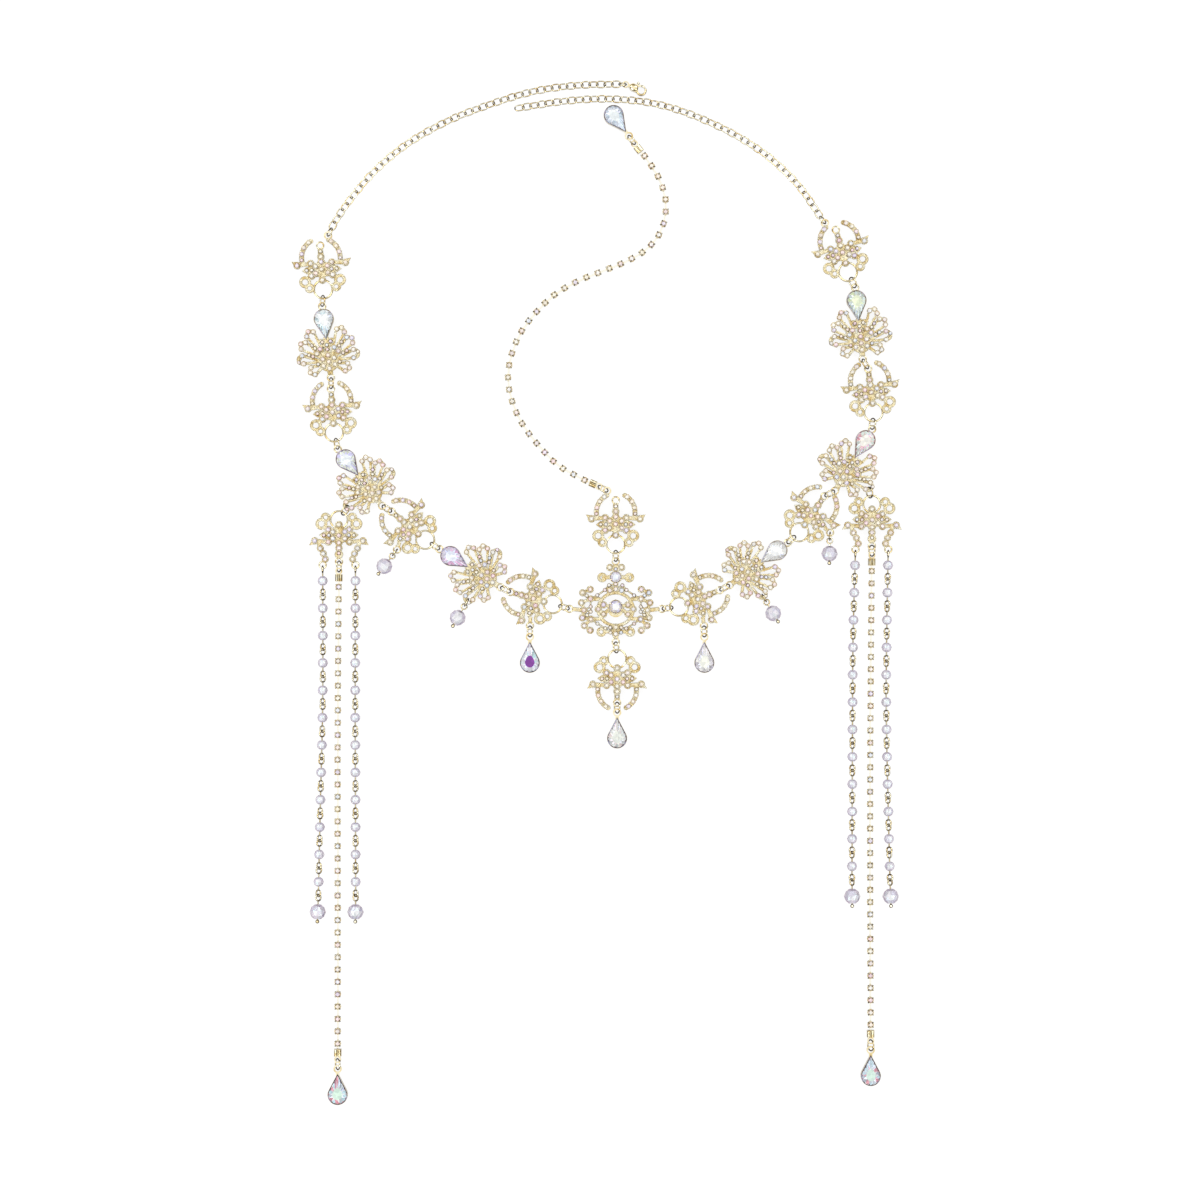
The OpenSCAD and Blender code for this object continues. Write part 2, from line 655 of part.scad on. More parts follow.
// Stone with a table and facets: the outline drawn in towards a middle, level by level
module cut_stone(outline, middle) {
    n = len(outline);
    levels = len(CROWN);
    points = concat(
        [for (c = CROWN, p = outline) lifted(middle + c[0] * (p - middle), c[1] * crown_h)],
        [lifted(middle, -pavilion_h)]
    );
    sides = [for (k = [0:levels - 2], i = [0:n - 1]) [k * n + i, (k + 1) * n + i,
        (k + 1) * n + (i + 1) % n, k * n + (i + 1) % n]];
    low = [for (i = [0:n - 1]) [n * levels, i, (i + 1) % n]];
    table = [[for (i = [n - 1:-1:0]) (levels - 1) * n + i]];
    translate([0, 0, girdle_z]) polyhedron(points, concat(sides, low, table));
}

// Pear stone with its tip towards the tip of its setting
module pear_stone() {
    inset = pear_wall + gap;
    share = (pear_r - inset) / pear_r;
    color("lavender") translate([0, pear_d * (1 - share), 0])
        cut_stone(pear_outline(pear_d * share, pear_r * share), [0, pear_d * share - 0.6]);
}

// Round stone for a round setting
module round_stone(middle, r) {
    color("lavender") translate(lifted(middle, round_seat_z - seat_z))
        cut_stone(round_outline(r - pear_wall - gap, round_steps), [0, 0]);
}

// Setting of a pear drop, with the eyelet that it hangs by
module drop_setting() {
    color("gold") {
        pear_setting(0.3);
        translate([0, pear_d, 0]) cylinder(r = pear_r - 1, h = 0.5);
        eyelet(drop_eyelet);
        translate([-0.6, drop_eyelet[1] + eyelet_r + 0.1, eye_z - eye_t / 2]) cube([1.2, 1.45, eye_t]);
    }
}

// Puts the children half way from a to b, with X from a to b
module spanning(a, b) {
    d = b - a;
    translate((a + b) / 2) rotate([0, -asin(d[2] / norm(d)), atan2(d[1], d[0])]) children();
}

// Ring of wire that passes through the points a and b
module jump_ring(a, b, lean) {
    spanning(a, b) rotate([lean, 0, 0])
        rotate_extrude() translate([norm(b - a) / 2, 0]) circle(d = ring_wire);
}

// All the jump rings of the ornament
module jump_rings() {
    color("gold") {
        for (j = JOINED) {
            ends = ring_between(j[0], j[1], j[2], j[3], ring_r);
            jump_ring(ends[0], ends[1], ring_lean);
        }
        for (c = CHAIN_RINGS) jump_ring(c[0][0], c[0][1], c[1] * ring_lean);
        for (d = BEAD_DROPS) jump_ring(bead_drop_ring(d)[0], bead_drop_ring(d)[1], 90);
    }
}

// Oval link round the origin, long along X
module link(lean) {
    r = (link_w - link_wire) / 2;
    half = (link_l - link_wire) / 2 - r;
    rotate([lean, 0, 0]) for (s = [1, -1]) {
        translate([s * half, 0, 0]) rotate(-s * 90) rotate_extrude(angle = 180)
            translate([r, 0]) circle(d = link_wire);
        translate([-half, s * r, 0]) rotate([0, 90, 0]) cylinder(d = link_wire, h = 2 * half);
    }
}

// Links along a route, leaning to one side and the other in turn
module extension_chain(route, first, ends_up) {
    whole = whole_length(route);
    n = ceil(whole / link_pitch);
    joints = [for (i = [0:n]) chain_point(route, i * whole / n, ends_up)];
    color("gold") for (i = [0:n - 1])
        spanning(joints[i], joints[i + 1]) link((i % 2 == 0 ? first : -first) * link_lean);
}

// Cups joined by bars, with a bar at each end that goes into an end piece
module cup_chain(route) {
    run = whole_length(route) - 2 * first_cup;
    n = round(run / chain_pitch);
    places = along(route, [for (i = [0:n]) first_cup + i * run / n]);
    stops = concat([route[0]], places, [route[len(route) - 1]]);
    color("gold") {
        translate([0, 0, cup_chain_z - 0.6]) linear_extrude(0.6) {
            for (i = [1:len(stops) - 1]) bar(stops[i - 1], stops[i], chain_bar_w);
        }
        for (p = places) translate(lifted(p, 0.1)) difference() {
            cylinder(r = chain_cup_r, h = 2);
            translate([0, 0, 1.5]) cylinder(r = chain_seat_r, h = 1);
        }
    }
}

// Folded end piece: its eyelet at the origin and the slot for the chain's last bar along X
module cup_chain_end() {
    slot = chain_bar_w + 2 * gap + 0.1;
    loop([0, 0], 1.25, 0.8);
    difference() {
        translate([1.1, -1.3, 0.2]) cube([2.6, 2.6, eye_z + eye_t / 2 - 0.2]);
        translate([2.1, -slot / 2, cup_chain_z - 0.6 - gap]) cube([2, slot, 0.6 + 2 * gap]);
    }
}

// Both end pieces of each cup chain
module cup_chain_ends() {
    color("gold") for (e = CUP_ENDS) {
        d = e[1] - e[0];
        placed(end_eyelet(e), atan2(d[1], d[0])) cup_chain_end();
    }
}

// Eye at the end of a pin, leaning about X
module pin_eye(x, r, wire, lean) {
    translate([x, 0, 0]) rotate([lean, 0, 0]) rotate_extrude() translate([r, 0]) circle(d = wire);
}

// Pin through a small bead, with an eye at each end
module eye_pin(lean) {
    reach = bead_d / 2 + pin_neck + 0.2;
    pin_eye(-eye_reach, pin_eye_r, pin_wire, lean);
    pin_eye(eye_reach, pin_eye_r, pin_wire, 45);
    translate([-reach, 0, 0]) rotate([0, 90, 0]) cylinder(r = shank_r, h = 2 * reach);
}

// Pin through an end bead, from the middle of its eye to the ball that holds the bead
module head_pin(r, wire, neck, lean) {
    start = r + wire / 2;
    pin_eye(0, r, wire, lean);
    translate([start - 0.2, 0, 0]) rotate([0, 90, 0])
        cylinder(r = shank_r, h = neck + end_bead_d + 0.6);
    translate([start + neck + end_bead_d + 0.5, 0, 0]) sphere(r = 0.7);
}

// Faceted bead drilled along X
module bead(d) {
    bore = shank_r + gap;
    color("lavender") difference() {
        intersection() {
            rotate([0, 90, 0]) rotate(22.5) cylinder(d = d, h = d, center = true, $fn = 8);
            rotate([90, 0, 0]) rotate(22.5) cylinder(d = d, h = d, center = true, $fn = 8);
            rotate(22.5) cylinder(d = d, h = d, center = true, $fn = 8);
        }
        rotate([0, 90, 0]) cylinder(r = bore, h = 2 * d, center = true);
    }
}

// Middles of the small beads of a string, and of the lower eyes of their pins
function bead_places(points, reach) =
    let (step = 2 * eye_reach + eye_step)
    [for (p = along(points, [for (i = [0:beads_on_string - 1]) pin_eye_r + eye_reach + i * step + reach]))
        lifted(p, eye_z)];

// Puts the children at the small beads from one number to another
module at_beads(points, from, to) {
    places = bead_places(points, 0);
    ends = bead_places(points, eye_reach);
    for (i = [from:to]) {
        d = ends[i] - places[i];
        translate(places[i]) rotate(atan2(d[1], d[0])) children();
    }
}

// Puts the children at the eye of the end bead's pin
module at_string_end(points) {
    at_beads(points, beads_on_string - 1, beads_on_string - 1)
        translate([eye_reach + eye_step, 0, 0]) rotate([0, -end_slope, 0]) children();
}

// Beads of a string: the small ones and the end bead
module string_beads(points) {
    at_beads(points, 0, beads_on_string - 1) bead(bead_d);
    at_string_end(points) translate([end_bead_reach, 0, 0]) bead(end_bead_d);
}

// Pins of a string, each eye holding the next one
module string_pins(points) {
    color("gold") {
        at_beads(points, 0, 0) eye_pin(90);
        at_beads(points, 1, beads_on_string - 1) eye_pin(-45);
        at_string_end(points) head_pin(pin_eye_r, pin_wire, pin_neck, -45);
    }
}

// Puts the children at the eye of the pin of each bead drop
module on_bead_drops() {
    for (d = BEAD_DROPS) {
        translate(bead_drop_ring(d)[1] + in_drop_eye * way(d))
            rotate([0, -bead_drop_slope, d[1]]) children();
    }
}

module bead_drop_beads() {
    on_bead_drops() translate([bead_drop_reach, 0, 0]) bead(end_bead_d);
}

module bead_drop_pins() {
    color("gold") on_bead_drops() head_pin(drop_eye_r, drop_wire, drop_neck, 0);
}

// Clasp on its side, the middle of its eye at the origin. Its hook's outline, with the mouth cut out
module clasp_outline() {
    difference() {
        translate(hook_middle) circle(hook_r);
        translate(hook_middle) circle(hook_hole_r);
        translate(hook_middle) polygon([[0, 0], 5 * [cos(mouth_from), sin(mouth_from)], [0, 8],
            [-8, 0], 5 * [cos(mouth_to), sin(mouth_to)]]);
        translate(pivot) intersection() {
            circle(lever_reach + gap);
            polygon([[0, 0], [8, -4], [8, 4]]);
        }
    }
}

// Body of the clasp: eye, shoulders with the slot for the lever, hook and rivet
module clasp_body() {
    mid = clasp_t / 2;
    color("gold") {
        translate([0, 0, clasp_eye_z - 0.35]) linear_extrude(0.7) {
            annulus(1.2, 0.8);
            translate([0.95, -0.5]) square([1.0, 1]);
        }
        translate([0, 0, mid - 0.75]) linear_extrude(1.5) clasp_outline();
        difference() {
            linear_extrude(clasp_t) clasp_shoulders();
            translate([0, 0, mid - lever_t / 2 - gap]) linear_extrude(lever_t + 2 * gap) slot_outline();
        }
        translate(pivot) cylinder(r = rivet_r, h = clasp_t);
    }
}

// Outline of the thick part of the clasp's body
module clasp_shoulders() {
    translate([2.9, 0]) circle(1.35);
    polygon([[2.6, -1.32], [4.6, -1.3], [5.0, -0.9], [4.75, 0], [4.5, 0.9], [3.4, 1.3]]);
    translate([1.3, -0.6]) square([0.7, 1.2]);
}

// Space that the lever turns in
module slot_outline() {
    translate(pivot) circle(lever_root_r + gap);
    translate(pivot) polygon([[0, -0.9], [4, -1.3], [4, 3], [-1, 3], [-1, 0]]);
}

// Outline of the lever round its pivot: an arched finger that shuts the mouth, and a nub to push
module lever_outline() {
    difference() {
        union() {
            circle(lever_root_r);
            intersection() {
                circle(lever_reach);
                for (i = [1:len(lever_way) - 1]) {
                    bar(lever_way[i - 1], lever_way[i], lever_w);
                    translate(lever_way[i - 1]) circle(lever_w / 2);
                }
            }
            bar([0.3, 0.3], nub, 0.6);
            translate(nub) circle(nub_r);
        }
        circle(rivet_r + 0.1);
    }
}

module clasp_lever() {
    mid = clasp_t / 2;
    color("gold") translate([0, 0, mid - lever_t / 2]) linear_extrude(lever_t)
        translate(pivot) lever_outline();
}

for (p = SMALL) placed(p[PLACE], p[TURN]) small_plaque(p[EXTRA]);
for (p = LARGE) placed(p[PLACE], p[TURN]) large_plaque();
for (p = HEADS) placed(p[PLACE], p[TURN]) tassel_head();
for (p = EYE) placed(p[PLACE], p[TURN]) eye_plaque();
for (p = LARGE) placed(p[PLACE], p[TURN]) translate([0, pear_tip, 0]) pear_stone();
for (p = EYE) placed(p[PLACE], p[TURN]) round_stone(centre_stone, centre_stone_r);  // eye_centre_stone
for (p = EYE) placed(p[PLACE], p[TURN]) round_stone(top_stone, top_stone_r);  // eye_top_stone
for (d = DROPS) placed(d[PLACE], d[TURN]) drop_setting();
for (d = DROPS) placed(d[PLACE], d[TURN]) pear_stone();
for (s = STRINGS) string_beads(s[PLACE]);
for (s = STRINGS) string_pins(s[PLACE]);
cup_chain(CROWN_CHAIN);  // crown_cup_chain
cup_chain(LEFT_CUPS);  // left_cup_chain
cup_chain(RIGHT_CUPS);  // right_cup_chain
cup_chain_ends();
bead_drop_beads();
bead_drop_pins();
jump_rings();
extension_chain(LEFT_CHAIN, 1, chain_ends_up);  // left_extension_chain
extension_chain(RIGHT_CHAIN, -1, 0);  // right_extension_chain
placed(clasp_place, clasp_turn) clasp_body();
placed(clasp_place, clasp_turn) clasp_lever();
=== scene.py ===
"""Looks of a forehead ornament: stones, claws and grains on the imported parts, finishes and a studio."""
import math
import random

import bpy
from mathutils import Matrix, Vector


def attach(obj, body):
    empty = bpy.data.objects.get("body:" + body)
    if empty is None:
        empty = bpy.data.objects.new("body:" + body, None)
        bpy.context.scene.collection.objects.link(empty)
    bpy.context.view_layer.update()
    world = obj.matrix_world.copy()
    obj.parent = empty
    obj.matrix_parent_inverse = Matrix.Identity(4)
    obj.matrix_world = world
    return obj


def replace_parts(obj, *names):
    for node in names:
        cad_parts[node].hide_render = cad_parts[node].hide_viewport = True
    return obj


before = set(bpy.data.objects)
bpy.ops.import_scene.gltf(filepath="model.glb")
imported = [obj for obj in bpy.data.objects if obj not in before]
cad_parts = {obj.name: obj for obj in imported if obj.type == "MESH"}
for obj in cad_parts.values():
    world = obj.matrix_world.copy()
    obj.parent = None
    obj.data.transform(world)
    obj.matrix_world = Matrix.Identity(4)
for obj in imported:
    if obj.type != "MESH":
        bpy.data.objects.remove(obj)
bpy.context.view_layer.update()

MM = 0.001
GOLD, CRYSTAL, BEAD = "gold", "cut_crystal", "bead_crystal"
WHITE = (1.0, 1.0, 1.0)
# Heights that differ by less than the first are the same, and so are corners within the second
NEAR, SAME = 0.02 * MM, 0.002 * MM
SEED = 7

# Middle stone in mm and turn in degrees of each small plaque and tassel head, as in the pack
SMALL_PLAQUES = {
    "left_small_1": ((-98.9, 116.3), 4), "left_small_2": ((-95.0, 64.8), 4),
    "left_small_3": ((-67.2, 23.6), 50), "left_small_4": ((-22.7, -2.2), 74),
    "crown_plaque": ((6.9, 24.6), 0), "brow_plaque": ((7.4, -31.1), 180),
    "right_small_4": ((36.4, -2.4), -68), "right_small_3": ((77.1, 27.6), -35),
    "right_small_2": ((98.8, 72.0), 7), "right_small_1": ((88.5, 122.3), 16),
}
TASSEL_HEADS = {"left_tassel_head": ((-92.7, 20.5), 180), "right_tassel_head": ((99.1, 26.1), 180)}

# Middle of the hub in mm and turn in degrees of each large plaque
LARGE_PLAQUES = {
    "left_large_1": ((-96.3, 83.0), 7), "left_large_2": ((-80.7, 35.7), 38),
    "left_large_3": ((-39.4, 4.9), 58), "right_large_3": ((52.5, 6.0), -54),
    "right_large_2": ((88.8, 41.5), -31), "right_large_1": ((95.2, 89.7), 6),
}
EYE = "eye_plaque"
PLAQUES = {**SMALL_PLAQUES, **TASSEL_HEADS, **LARGE_PLAQUES, EYE: ((6.9, -6.0), 0)}

CUP_CHAINS = ["crown_cup_chain", "left_cup_chain", "right_cup_chain"]
STRINGS = ["left_outer", "left_inner", "right_inner", "right_outer"]
DROPS = ["brow_left", "brow_middle", "brow_right", "left_tassel", "right_tassel", "crown_chain"]
PLAIN_METAL = [
    "cup_chain_ends", "jump_rings", "bead_drop_pins", "left_extension_chain", "right_extension_chain",
]

# Petals of a large plaque: turn from the pear stone in degrees and reach in mm
PETALS = [(27.5, 11.6), (51.0, 10.4), (79.0, 9.6), (113.7, 6.2)]
# In mm: radius of the stones' row on a petal's end, and start and shortfall of a row between two petals
PETAL_RIM_R, ROW_START, ROW_END_GAP = 1.5, 3.9, 1.2
# Tip, reach and radius of the setting of the pear stone in a large plaque, and the room round it, in mm
PEAR_TIP, PEAR_REACH, PEAR_R, PEAR_ROOM = 7.9, 7.7, 3.6, 0.85

# Heights and radii of the plaques' cups, and of the cups in the cup chains
PLATE_TOP = 2.5 * MM
CUP_TOP = 3.1 * MM
SEAT_R = 0.7 * MM
CUP_R = 1.0 * MM
CHAIN_CUP_TOP = 2.1 * MM
CHAIN_SEAT_R = 0.85 * MM
CHAIN_BAR_TOP = 1.1 * MM
# Share of a seat's radius by which a round wall may miss it
SEAT_SPREAD = 0.1

# Top of the flat rings that the jump rings hold, and the width of a big loop's and of an eyelet's
LOOP_TOP = 2.3 * MM
LOOP_WALL = 0.7 * MM
EYELET_WALL = 0.55 * MM
# Smallest and largest radius inside an eyelet, and how far its corners may be off a circle
EYELET_R, EYELET_OFF = (0.6 * MM, 1.2 * MM), 0.05 * MM
# Share of a ring's width that its wire takes as radius, and how deep the wire's middle lies in the ring
LOOP_WIRE_SHARE, LOOP_WIRE_SUNK = 0.47, 0.12 * MM
# Place below a plaque's middle and middle radius of the big loop, in mm: in the row, and on a tassel's head
ROW_LOOP, HEAD_LOOP = (-7.2, 3.3), (-5.7, 3.1)
# Place in mm and turn in degrees of the clasp. All that follows is in mm in its own frame: the middles of its
# shoulders, hook and lever's nub, points on the lever's finger, and the tops of shoulders, hook and lever
CLASP = ((10.5, 182.95), -21)
CLASP_SHOULDERS, CLASP_HOOK, LEVER_NUB = (3.2, -0.05), (6.0, 0.0), (4.1, 2.1)
LEVER_FINGER = [(5.45, 1.51), (6.0, 1.65), (6.5, 1.5), (6.85, 1.35)]
CLASP_TOP, HOOK_TOP, LEVER_TOP = 2.2, 1.85, 1.45
# Half sizes of the domes on shoulders and nub, the hook's radius and its turns in degrees
SHOULDERS_HALF, NUB_HALF = (1.55, 1.2, 0.55), (0.47, 0.47, 0.3)
HOOK_R, HOOK_TURNS = 1.6, range(205, 401, 13)
# Radius of the wire on hook and finger, and how deep its middle lies
HOOK_WIRE_R, HOOK_WIRE_SUNK = 0.35, 0.1
FINGER_WIRE_R, FINGER_WIRE_SUNK = 0.33, 0.08

# Places in mm of stones that are added on the right half of a plaque, and mirrored
EYE_STONES = [
    (10.6, 7.3), (10.4, 4.9), (10.7, 2.1), (9.0, 0.9), (9.0, -0.9), (10.6, -0.6), (10.3, -2.1), (8.6, 2.2),
    (8.7, -2.4), (10.5, -4.6), (12.8, -4.6), (12.6, 3.9), (10.6, -7.5), (2.4, 8.6), (0.0, 9.0), (3.9, 6.9),
    (2.0, -6.6), (1.9, -8.4), (3.8, -6.9), (0.0, 14.4), (7.7, 3.6), (7.7, -3.8), (6.6, 5.0), (6.6, -5.2),
]
SMALL_STONES = [(6.95, 3.7), (6.6, 5.4), (5.4, -0.1), (0.0, 6.4), (3.6, -0.1)]
PEAR_STEM_STONES = [(0.0, 4.5), (0.0, 6.1), (1.5, 7.3)]

# Stones in the plaques' cups: radius and rise over the seat's rim, and the grains on that rim
CUP_STONE_R, CUP_STONE_RISE = 0.88 * MM, 0.2 * MM
CUP_GRAIN_REACH, CUP_GRAIN_R = 0.9 * MM, 0.19 * MM
# Added stones: the bezel's radii, foot and top, the stone's radius and rise, the struts and the least gap
BEZEL_OUTER, BEZEL_INNER = 0.74 * MM, 0.5 * MM
BEZEL_FOOT, BEZEL_TOP = 1.8 * MM, 3.0 * MM
BEZEL_STONE_R, BEZEL_STONE_RISE = 0.64 * MM, 0.16 * MM
STRUT_Z, STRUT_R = 2.1 * MM, 0.3 * MM
BEZEL_GAP = 0.02 * MM
# Strewn grains: tries in a square mm, least distance, range of radii in mm, and room round cups and bezels
GRAIN_TRIES, GRAIN_APART, GRAIN_R = 13, 0.47 * MM, (0.18, 0.25)
CUP_ROOM, BEZEL_ROOM = CUP_R + 0.08 * MM, 0.86 * MM
EDGE_WIRE_R = 0.16 * MM

# Pear stones: how much wider than the pack's, height of the girdle, height above it and depth below it
PEAR_GROWTH, PEAR_GIRDLE, PEAR_HEIGHT, PEAR_DEPTH = 1.15 * MM, 2.87 * MM, 1.0 * MM, 1.0 * MM
# Round stones: how much larger in radius than the pack's, and the same three measures
ROUND_GROWTH = {"eye_centre_stone": 0.5 * MM, "eye_top_stone": 0.4 * MM}
ROUND_GIRDLE, ROUND_HEIGHT, ROUND_DEPTH = CUP_TOP + 0.25 * MM, 0.85 * MM, 0.9 * MM
# Claws of the round stones and of the cup chains: how many, height and width, and their reach from the middle
EYE_CLAWS, EYE_CLAW_HEIGHT, EYE_CLAW_WIDTH, EYE_CLAW_GAP = 6, 0.55 * MM, 0.36 * MM, 0.02 * MM
CHAIN_CLAWS, CHAIN_CLAW_HEIGHT, CHAIN_CLAW_WIDTH, CHAIN_CLAW_REACH = 4, 0.75 * MM, 0.46 * MM, 1.16 * MM
CHAIN_STONE_R, CHAIN_STONE_RISE = 1.02 * MM, 0.22 * MM
# Beads: radius of the hole, and how much larger than the pack's
BEAD_HOLE_R, BEAD_GROWTH = 0.37 * MM, 1.02
# Flaps on the ends of the cup chains: place beside the middle, points along in mm, and radius
FLAP_SIDE, FLAP_POINTS, FLAP_R = 0.68 * MM, (-1.2, -1.1, 1.1, 1.2), 0.56 * MM
# Height under which only the box of such an end has corners
FLAP_BOX_FOOT = 0.3 * MM

# The picture's width on the surface, the camera's place over it and its sensor and lens, and the floor
PICTURE_WIDE = 432 * MM
CAMERA_X, CAMERA_Y = 1.24 * MM, -2.7 * MM
SENSOR, LENS = 36.0, 100.0
FLOOR_SIDE, FLOOR_Z = 12.0, -0.02 * MM
# Soft lights round the ornament, each with its turn in degrees and its power, and their distance and size
LIGHTS = {"key": (140, 10.0), "fill_left": (215, 8.0), "fill_right": (320, 7.0), "back": (50, 8.0)}
LIGHT_REACH, LIGHT_HEIGHT, LIGHT_SIDE = 1.35, 1.25, 0.8


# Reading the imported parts

def spot(point):
    """The same key for corners that lie on one another."""
    return tuple(round(c / SAME) for c in point)


def faces_of(node):
    """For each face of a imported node: its corners and its normal."""
    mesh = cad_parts[node].data
    return [([mesh.vertices[i].co.copy() for i in f.vertices], f.normal.copy()) for f in mesh.polygons]


def joined(links, key=spot):
    """The links in groups that hang together. A link is a tuple of points, with anything else behind them."""
    parent = {}

    def root(name):
        while parent[name] != name:
            parent[name] = parent[parent[name]]
            name = parent[name]
        return name

    for points, _ in links:
        for point in points:
            parent.setdefault(key(point), key(point))
        for point in points[1:]:
            parent[root(key(point))] = root(key(points[0]))
    groups = {}
    for link in links:
        groups.setdefault(root(key(link[0][0])), []).append(link)
    return list(groups.values())


def edges_at(node, height, only_below=False):
    """Level edges of the upright walls that end at a height, or only of walls that lie wholly below it."""
    found = []
    for corners, normal in faces_of(node):
        level = [c for c in corners if abs(c.z - height) < NEAR]
        if abs(normal.z) > 0.2 or len(level) != 2 or (level[0] - level[1]).length < NEAR:
            continue
        if only_below and max(c.z for c in corners) > height + NEAR:
            continue
        found.append(((level[0], level[1]), normal))
    return found


def middle_and_half(points):
    low = Vector([min(p[i] for p in points) for i in range(3)])
    high = Vector([max(p[i] for p in points) for i in range(3)])
    return (low + high) / 2, (high - low) / 2


def seats(node, top, radius):
    """Middles of a node's round seats of about this radius, whose walls end at this height."""
    smallest, largest = (1 - SEAT_SPREAD) * radius, (1 + SEAT_SPREAD) * radius
    found = []
    for group in joined(edges_at(node, top)):
        middle, half = middle_and_half([p for points, _ in group for p in points])
        if smallest < half.x < largest and smallest < half.y < largest:
            found.append(middle)
    return sorted(found, key=spot)


def solids(node):
    """Faces of each separate solid of a node."""
    return sorted(joined(faces_of(node)), key=lambda group: spot(group[0][0][0]))


def pear_frame(node):
    """Tip of a pear stone with the frame that has Y to its round end, and its length and width."""
    points = [Vector((p.x, p.y, 0)) for corners, _ in faces_of(node) for p in corners]
    middle = sum(points, Vector()) / len(points)
    tip = max(points, key=lambda p: (p - middle).length)
    along = (middle - tip).normalized()
    for _ in range(20):
        across = Vector((along.y, -along.x, 0))
        sides = [(p - tip).dot(across) for p in points]
        length = max((p - tip).dot(along) for p in points)
        along = (along + across * (max(sides) + min(sides)) / 2 / length).normalized()
    place = Matrix.Translation(tip) @ Matrix.Rotation(math.atan2(-along.x, along.y), 4, "Z")
    return place, length, max(sides) - min(sides)


# Making pieces

class Heap:
    """Points, faces and a tint for each face, which also carries any painted shade or reflection, gathered
    into one piece.
    """

    def __init__(self):
        self.points, self.faces, self.tints_and_shades = [], [], []

    def add(self, points, faces, tints_and_shades=WHITE, place=Matrix()):
        start = len(self.points)
        self.points += [place @ Vector(p) for p in points]
        self.faces += [[start + i for i in f] for f in faces]
        self.tints_and_shades += list(tints_and_shades) if isinstance(tints_and_shades, list) else [tints_and_shades] * len(faces)

    def piece(self, name, finish, slot, smooth=False, body="ornament"):
        mesh = bpy.data.meshes.new(name)
        mesh.from_pydata(self.points, [], self.faces)
        mesh.materials.append(finish)
        tint_and_shade = mesh.color_attributes.new("tint_and_shade", "FLOAT_COLOR", "CORNER")
        for face, colour in zip(mesh.polygons, self.tints_and_shades):
            face.use_smooth = smooth
            for loop in face.loop_indices:
                tint_and_shade.data[loop].color = (*colour, 1)
        obj = bpy.data.objects.new(name, mesh)
        bpy.context.scene.collection.objects.link(obj)
        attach(obj, body)
        return obj


def ring_of(radius, count, z, turn=0.0):
    """Points evenly round the Z axis."""
    return [
        (radius * math.cos(a), radius * math.sin(a), z)
        for a in (turn + 2 * math.pi * i / count for i in range(count))
    ]


def bands(levels, count):
    """Faces between rings of points that lie one after another."""
    return [
        [k * count + i, k * count + (i + 1) % count, (k + 1) * count + (i + 1) % count, (k + 1) * count + i]
        for k in range(levels - 1)
        for i in range(count)
    ]


def grain(heap, middle, radius):
    """Small half ball with a flat underside, on top of a surface."""
    count = 6
    levels = [(1.0, -0.3), (0.95, 0.3), (0.6, 0.8)]
    points = [p for share, z in levels for p in ring_of(share * radius, count, z * radius)]
    points.append((0, 0, radius))
    faces = bands(len(levels), count)
    faces += [[2 * count + i, 2 * count + (i + 1) % count, 3 * count] for i in range(count)]
    faces.append(list(reversed(range(count))))
    heap.add(points, faces, place=Matrix.Translation(middle))


def claw(heap, middle, height, reach, width, turn):
    """Claw that stands beside a cup and leans over its stone."""
    half = width / 2
    side = [(-half, -half), (half, -half), (half, half), (-half, half)]
    levels = [(-0.15, 1.0, 0.0), (0.5, 1.0, 0.0), (0.85, 0.9, -0.4), (1.0, 0.5, -0.8)]
    points = [
        (reach + lean * width + x * share, y * share, height * z)
        for z, share, lean in levels
        for x, y in side
    ]
    faces = bands(len(levels), 4) + [[12, 13, 14, 15], [3, 2, 1, 0]]
    heap.add(points, faces, place=Matrix.Translation(middle) @ Matrix.Rotation(turn, 4, "Z"))


def bezel(heap, middle, outer, inner, low, high):
    """Ring of metal round a small stone, with a rounded lip."""
    count = 14
    lip = (outer - inner) / 3
    levels = [(outer, low), (outer, high - lip), (outer - lip, high), (inner, high), (inner, low)]
    points = [p for radius, z in levels for p in ring_of(radius, count, z)]
    faces = bands(len(levels), count)
    last = (len(levels) - 1) * count
    faces += [[last + i, last + (i + 1) % count, (i + 1) % count, i] for i in range(count)]
    heap.add(points, faces, place=Matrix.Translation(Vector((middle.x, middle.y, 0))))


def wire(heap, path, closed, radius, sides=6):
    """Level wire along a path."""
    n = len(path)
    points = []
    for i, p in enumerate(path):
        before = path[i - 1] if closed or i else p
        after = path[(i + 1) % n] if closed or i < n - 1 else p
        along = (after - before).normalized()
        across = Vector((-along.y, along.x, 0))
        for k in range(sides):
            a = 2 * math.pi * k / sides
            points.append(p + radius * (math.cos(a) * across + Vector((0, 0, math.sin(a)))))
    faces = []
    for i in range(n if closed else n - 1):
        j = (i + 1) % n
        faces += [[i * sides + k, j * sides + k, j * sides + (k + 1) % sides, i * sides + (k + 1) % sides]
                  for k in range(sides)]
    if not closed:
        faces += [list(range(sides)), [(n - 1) * sides + k for k in reversed(range(sides))]]
    heap.add(points, faces)


def paths_of(edges):
    """Runs of edges as lists of points, and whether each one closes."""
    beside = {}
    for (a, b), _ in edges:
        beside.setdefault(spot(a), {})[spot(b)] = b
        beside.setdefault(spot(b), {})[spot(a)] = a
    where = {spot(p): p for points, _ in edges for p in points}
    left = {key: dict(others) for key, others in beside.items()}
    starts = [k for k in left if len(left[k]) != 2] + list(left)
    for start in starts:
        while left[start]:
            run = [start]
            while left[run[-1]]:
                after = min(left[run[-1]])
                del left[run[-1]][after]
                del left[after][run[-1]]
                run.append(after)
                if len(beside[after]) != 2:
                    break
            closed = run[0] == run[-1]
            yield [where[k] for k in (run[:-1] if closed else run)], closed


def claws_round(heap, middle, count, height, reach, width, turn):
    for k in range(count):
        claw(heap, middle, height, reach, width, turn + 2 * math.pi * k / count)


# Cut stones

def circle_outline(radius, count):
    return [Vector(p) for p in ring_of(radius, count, 0)]


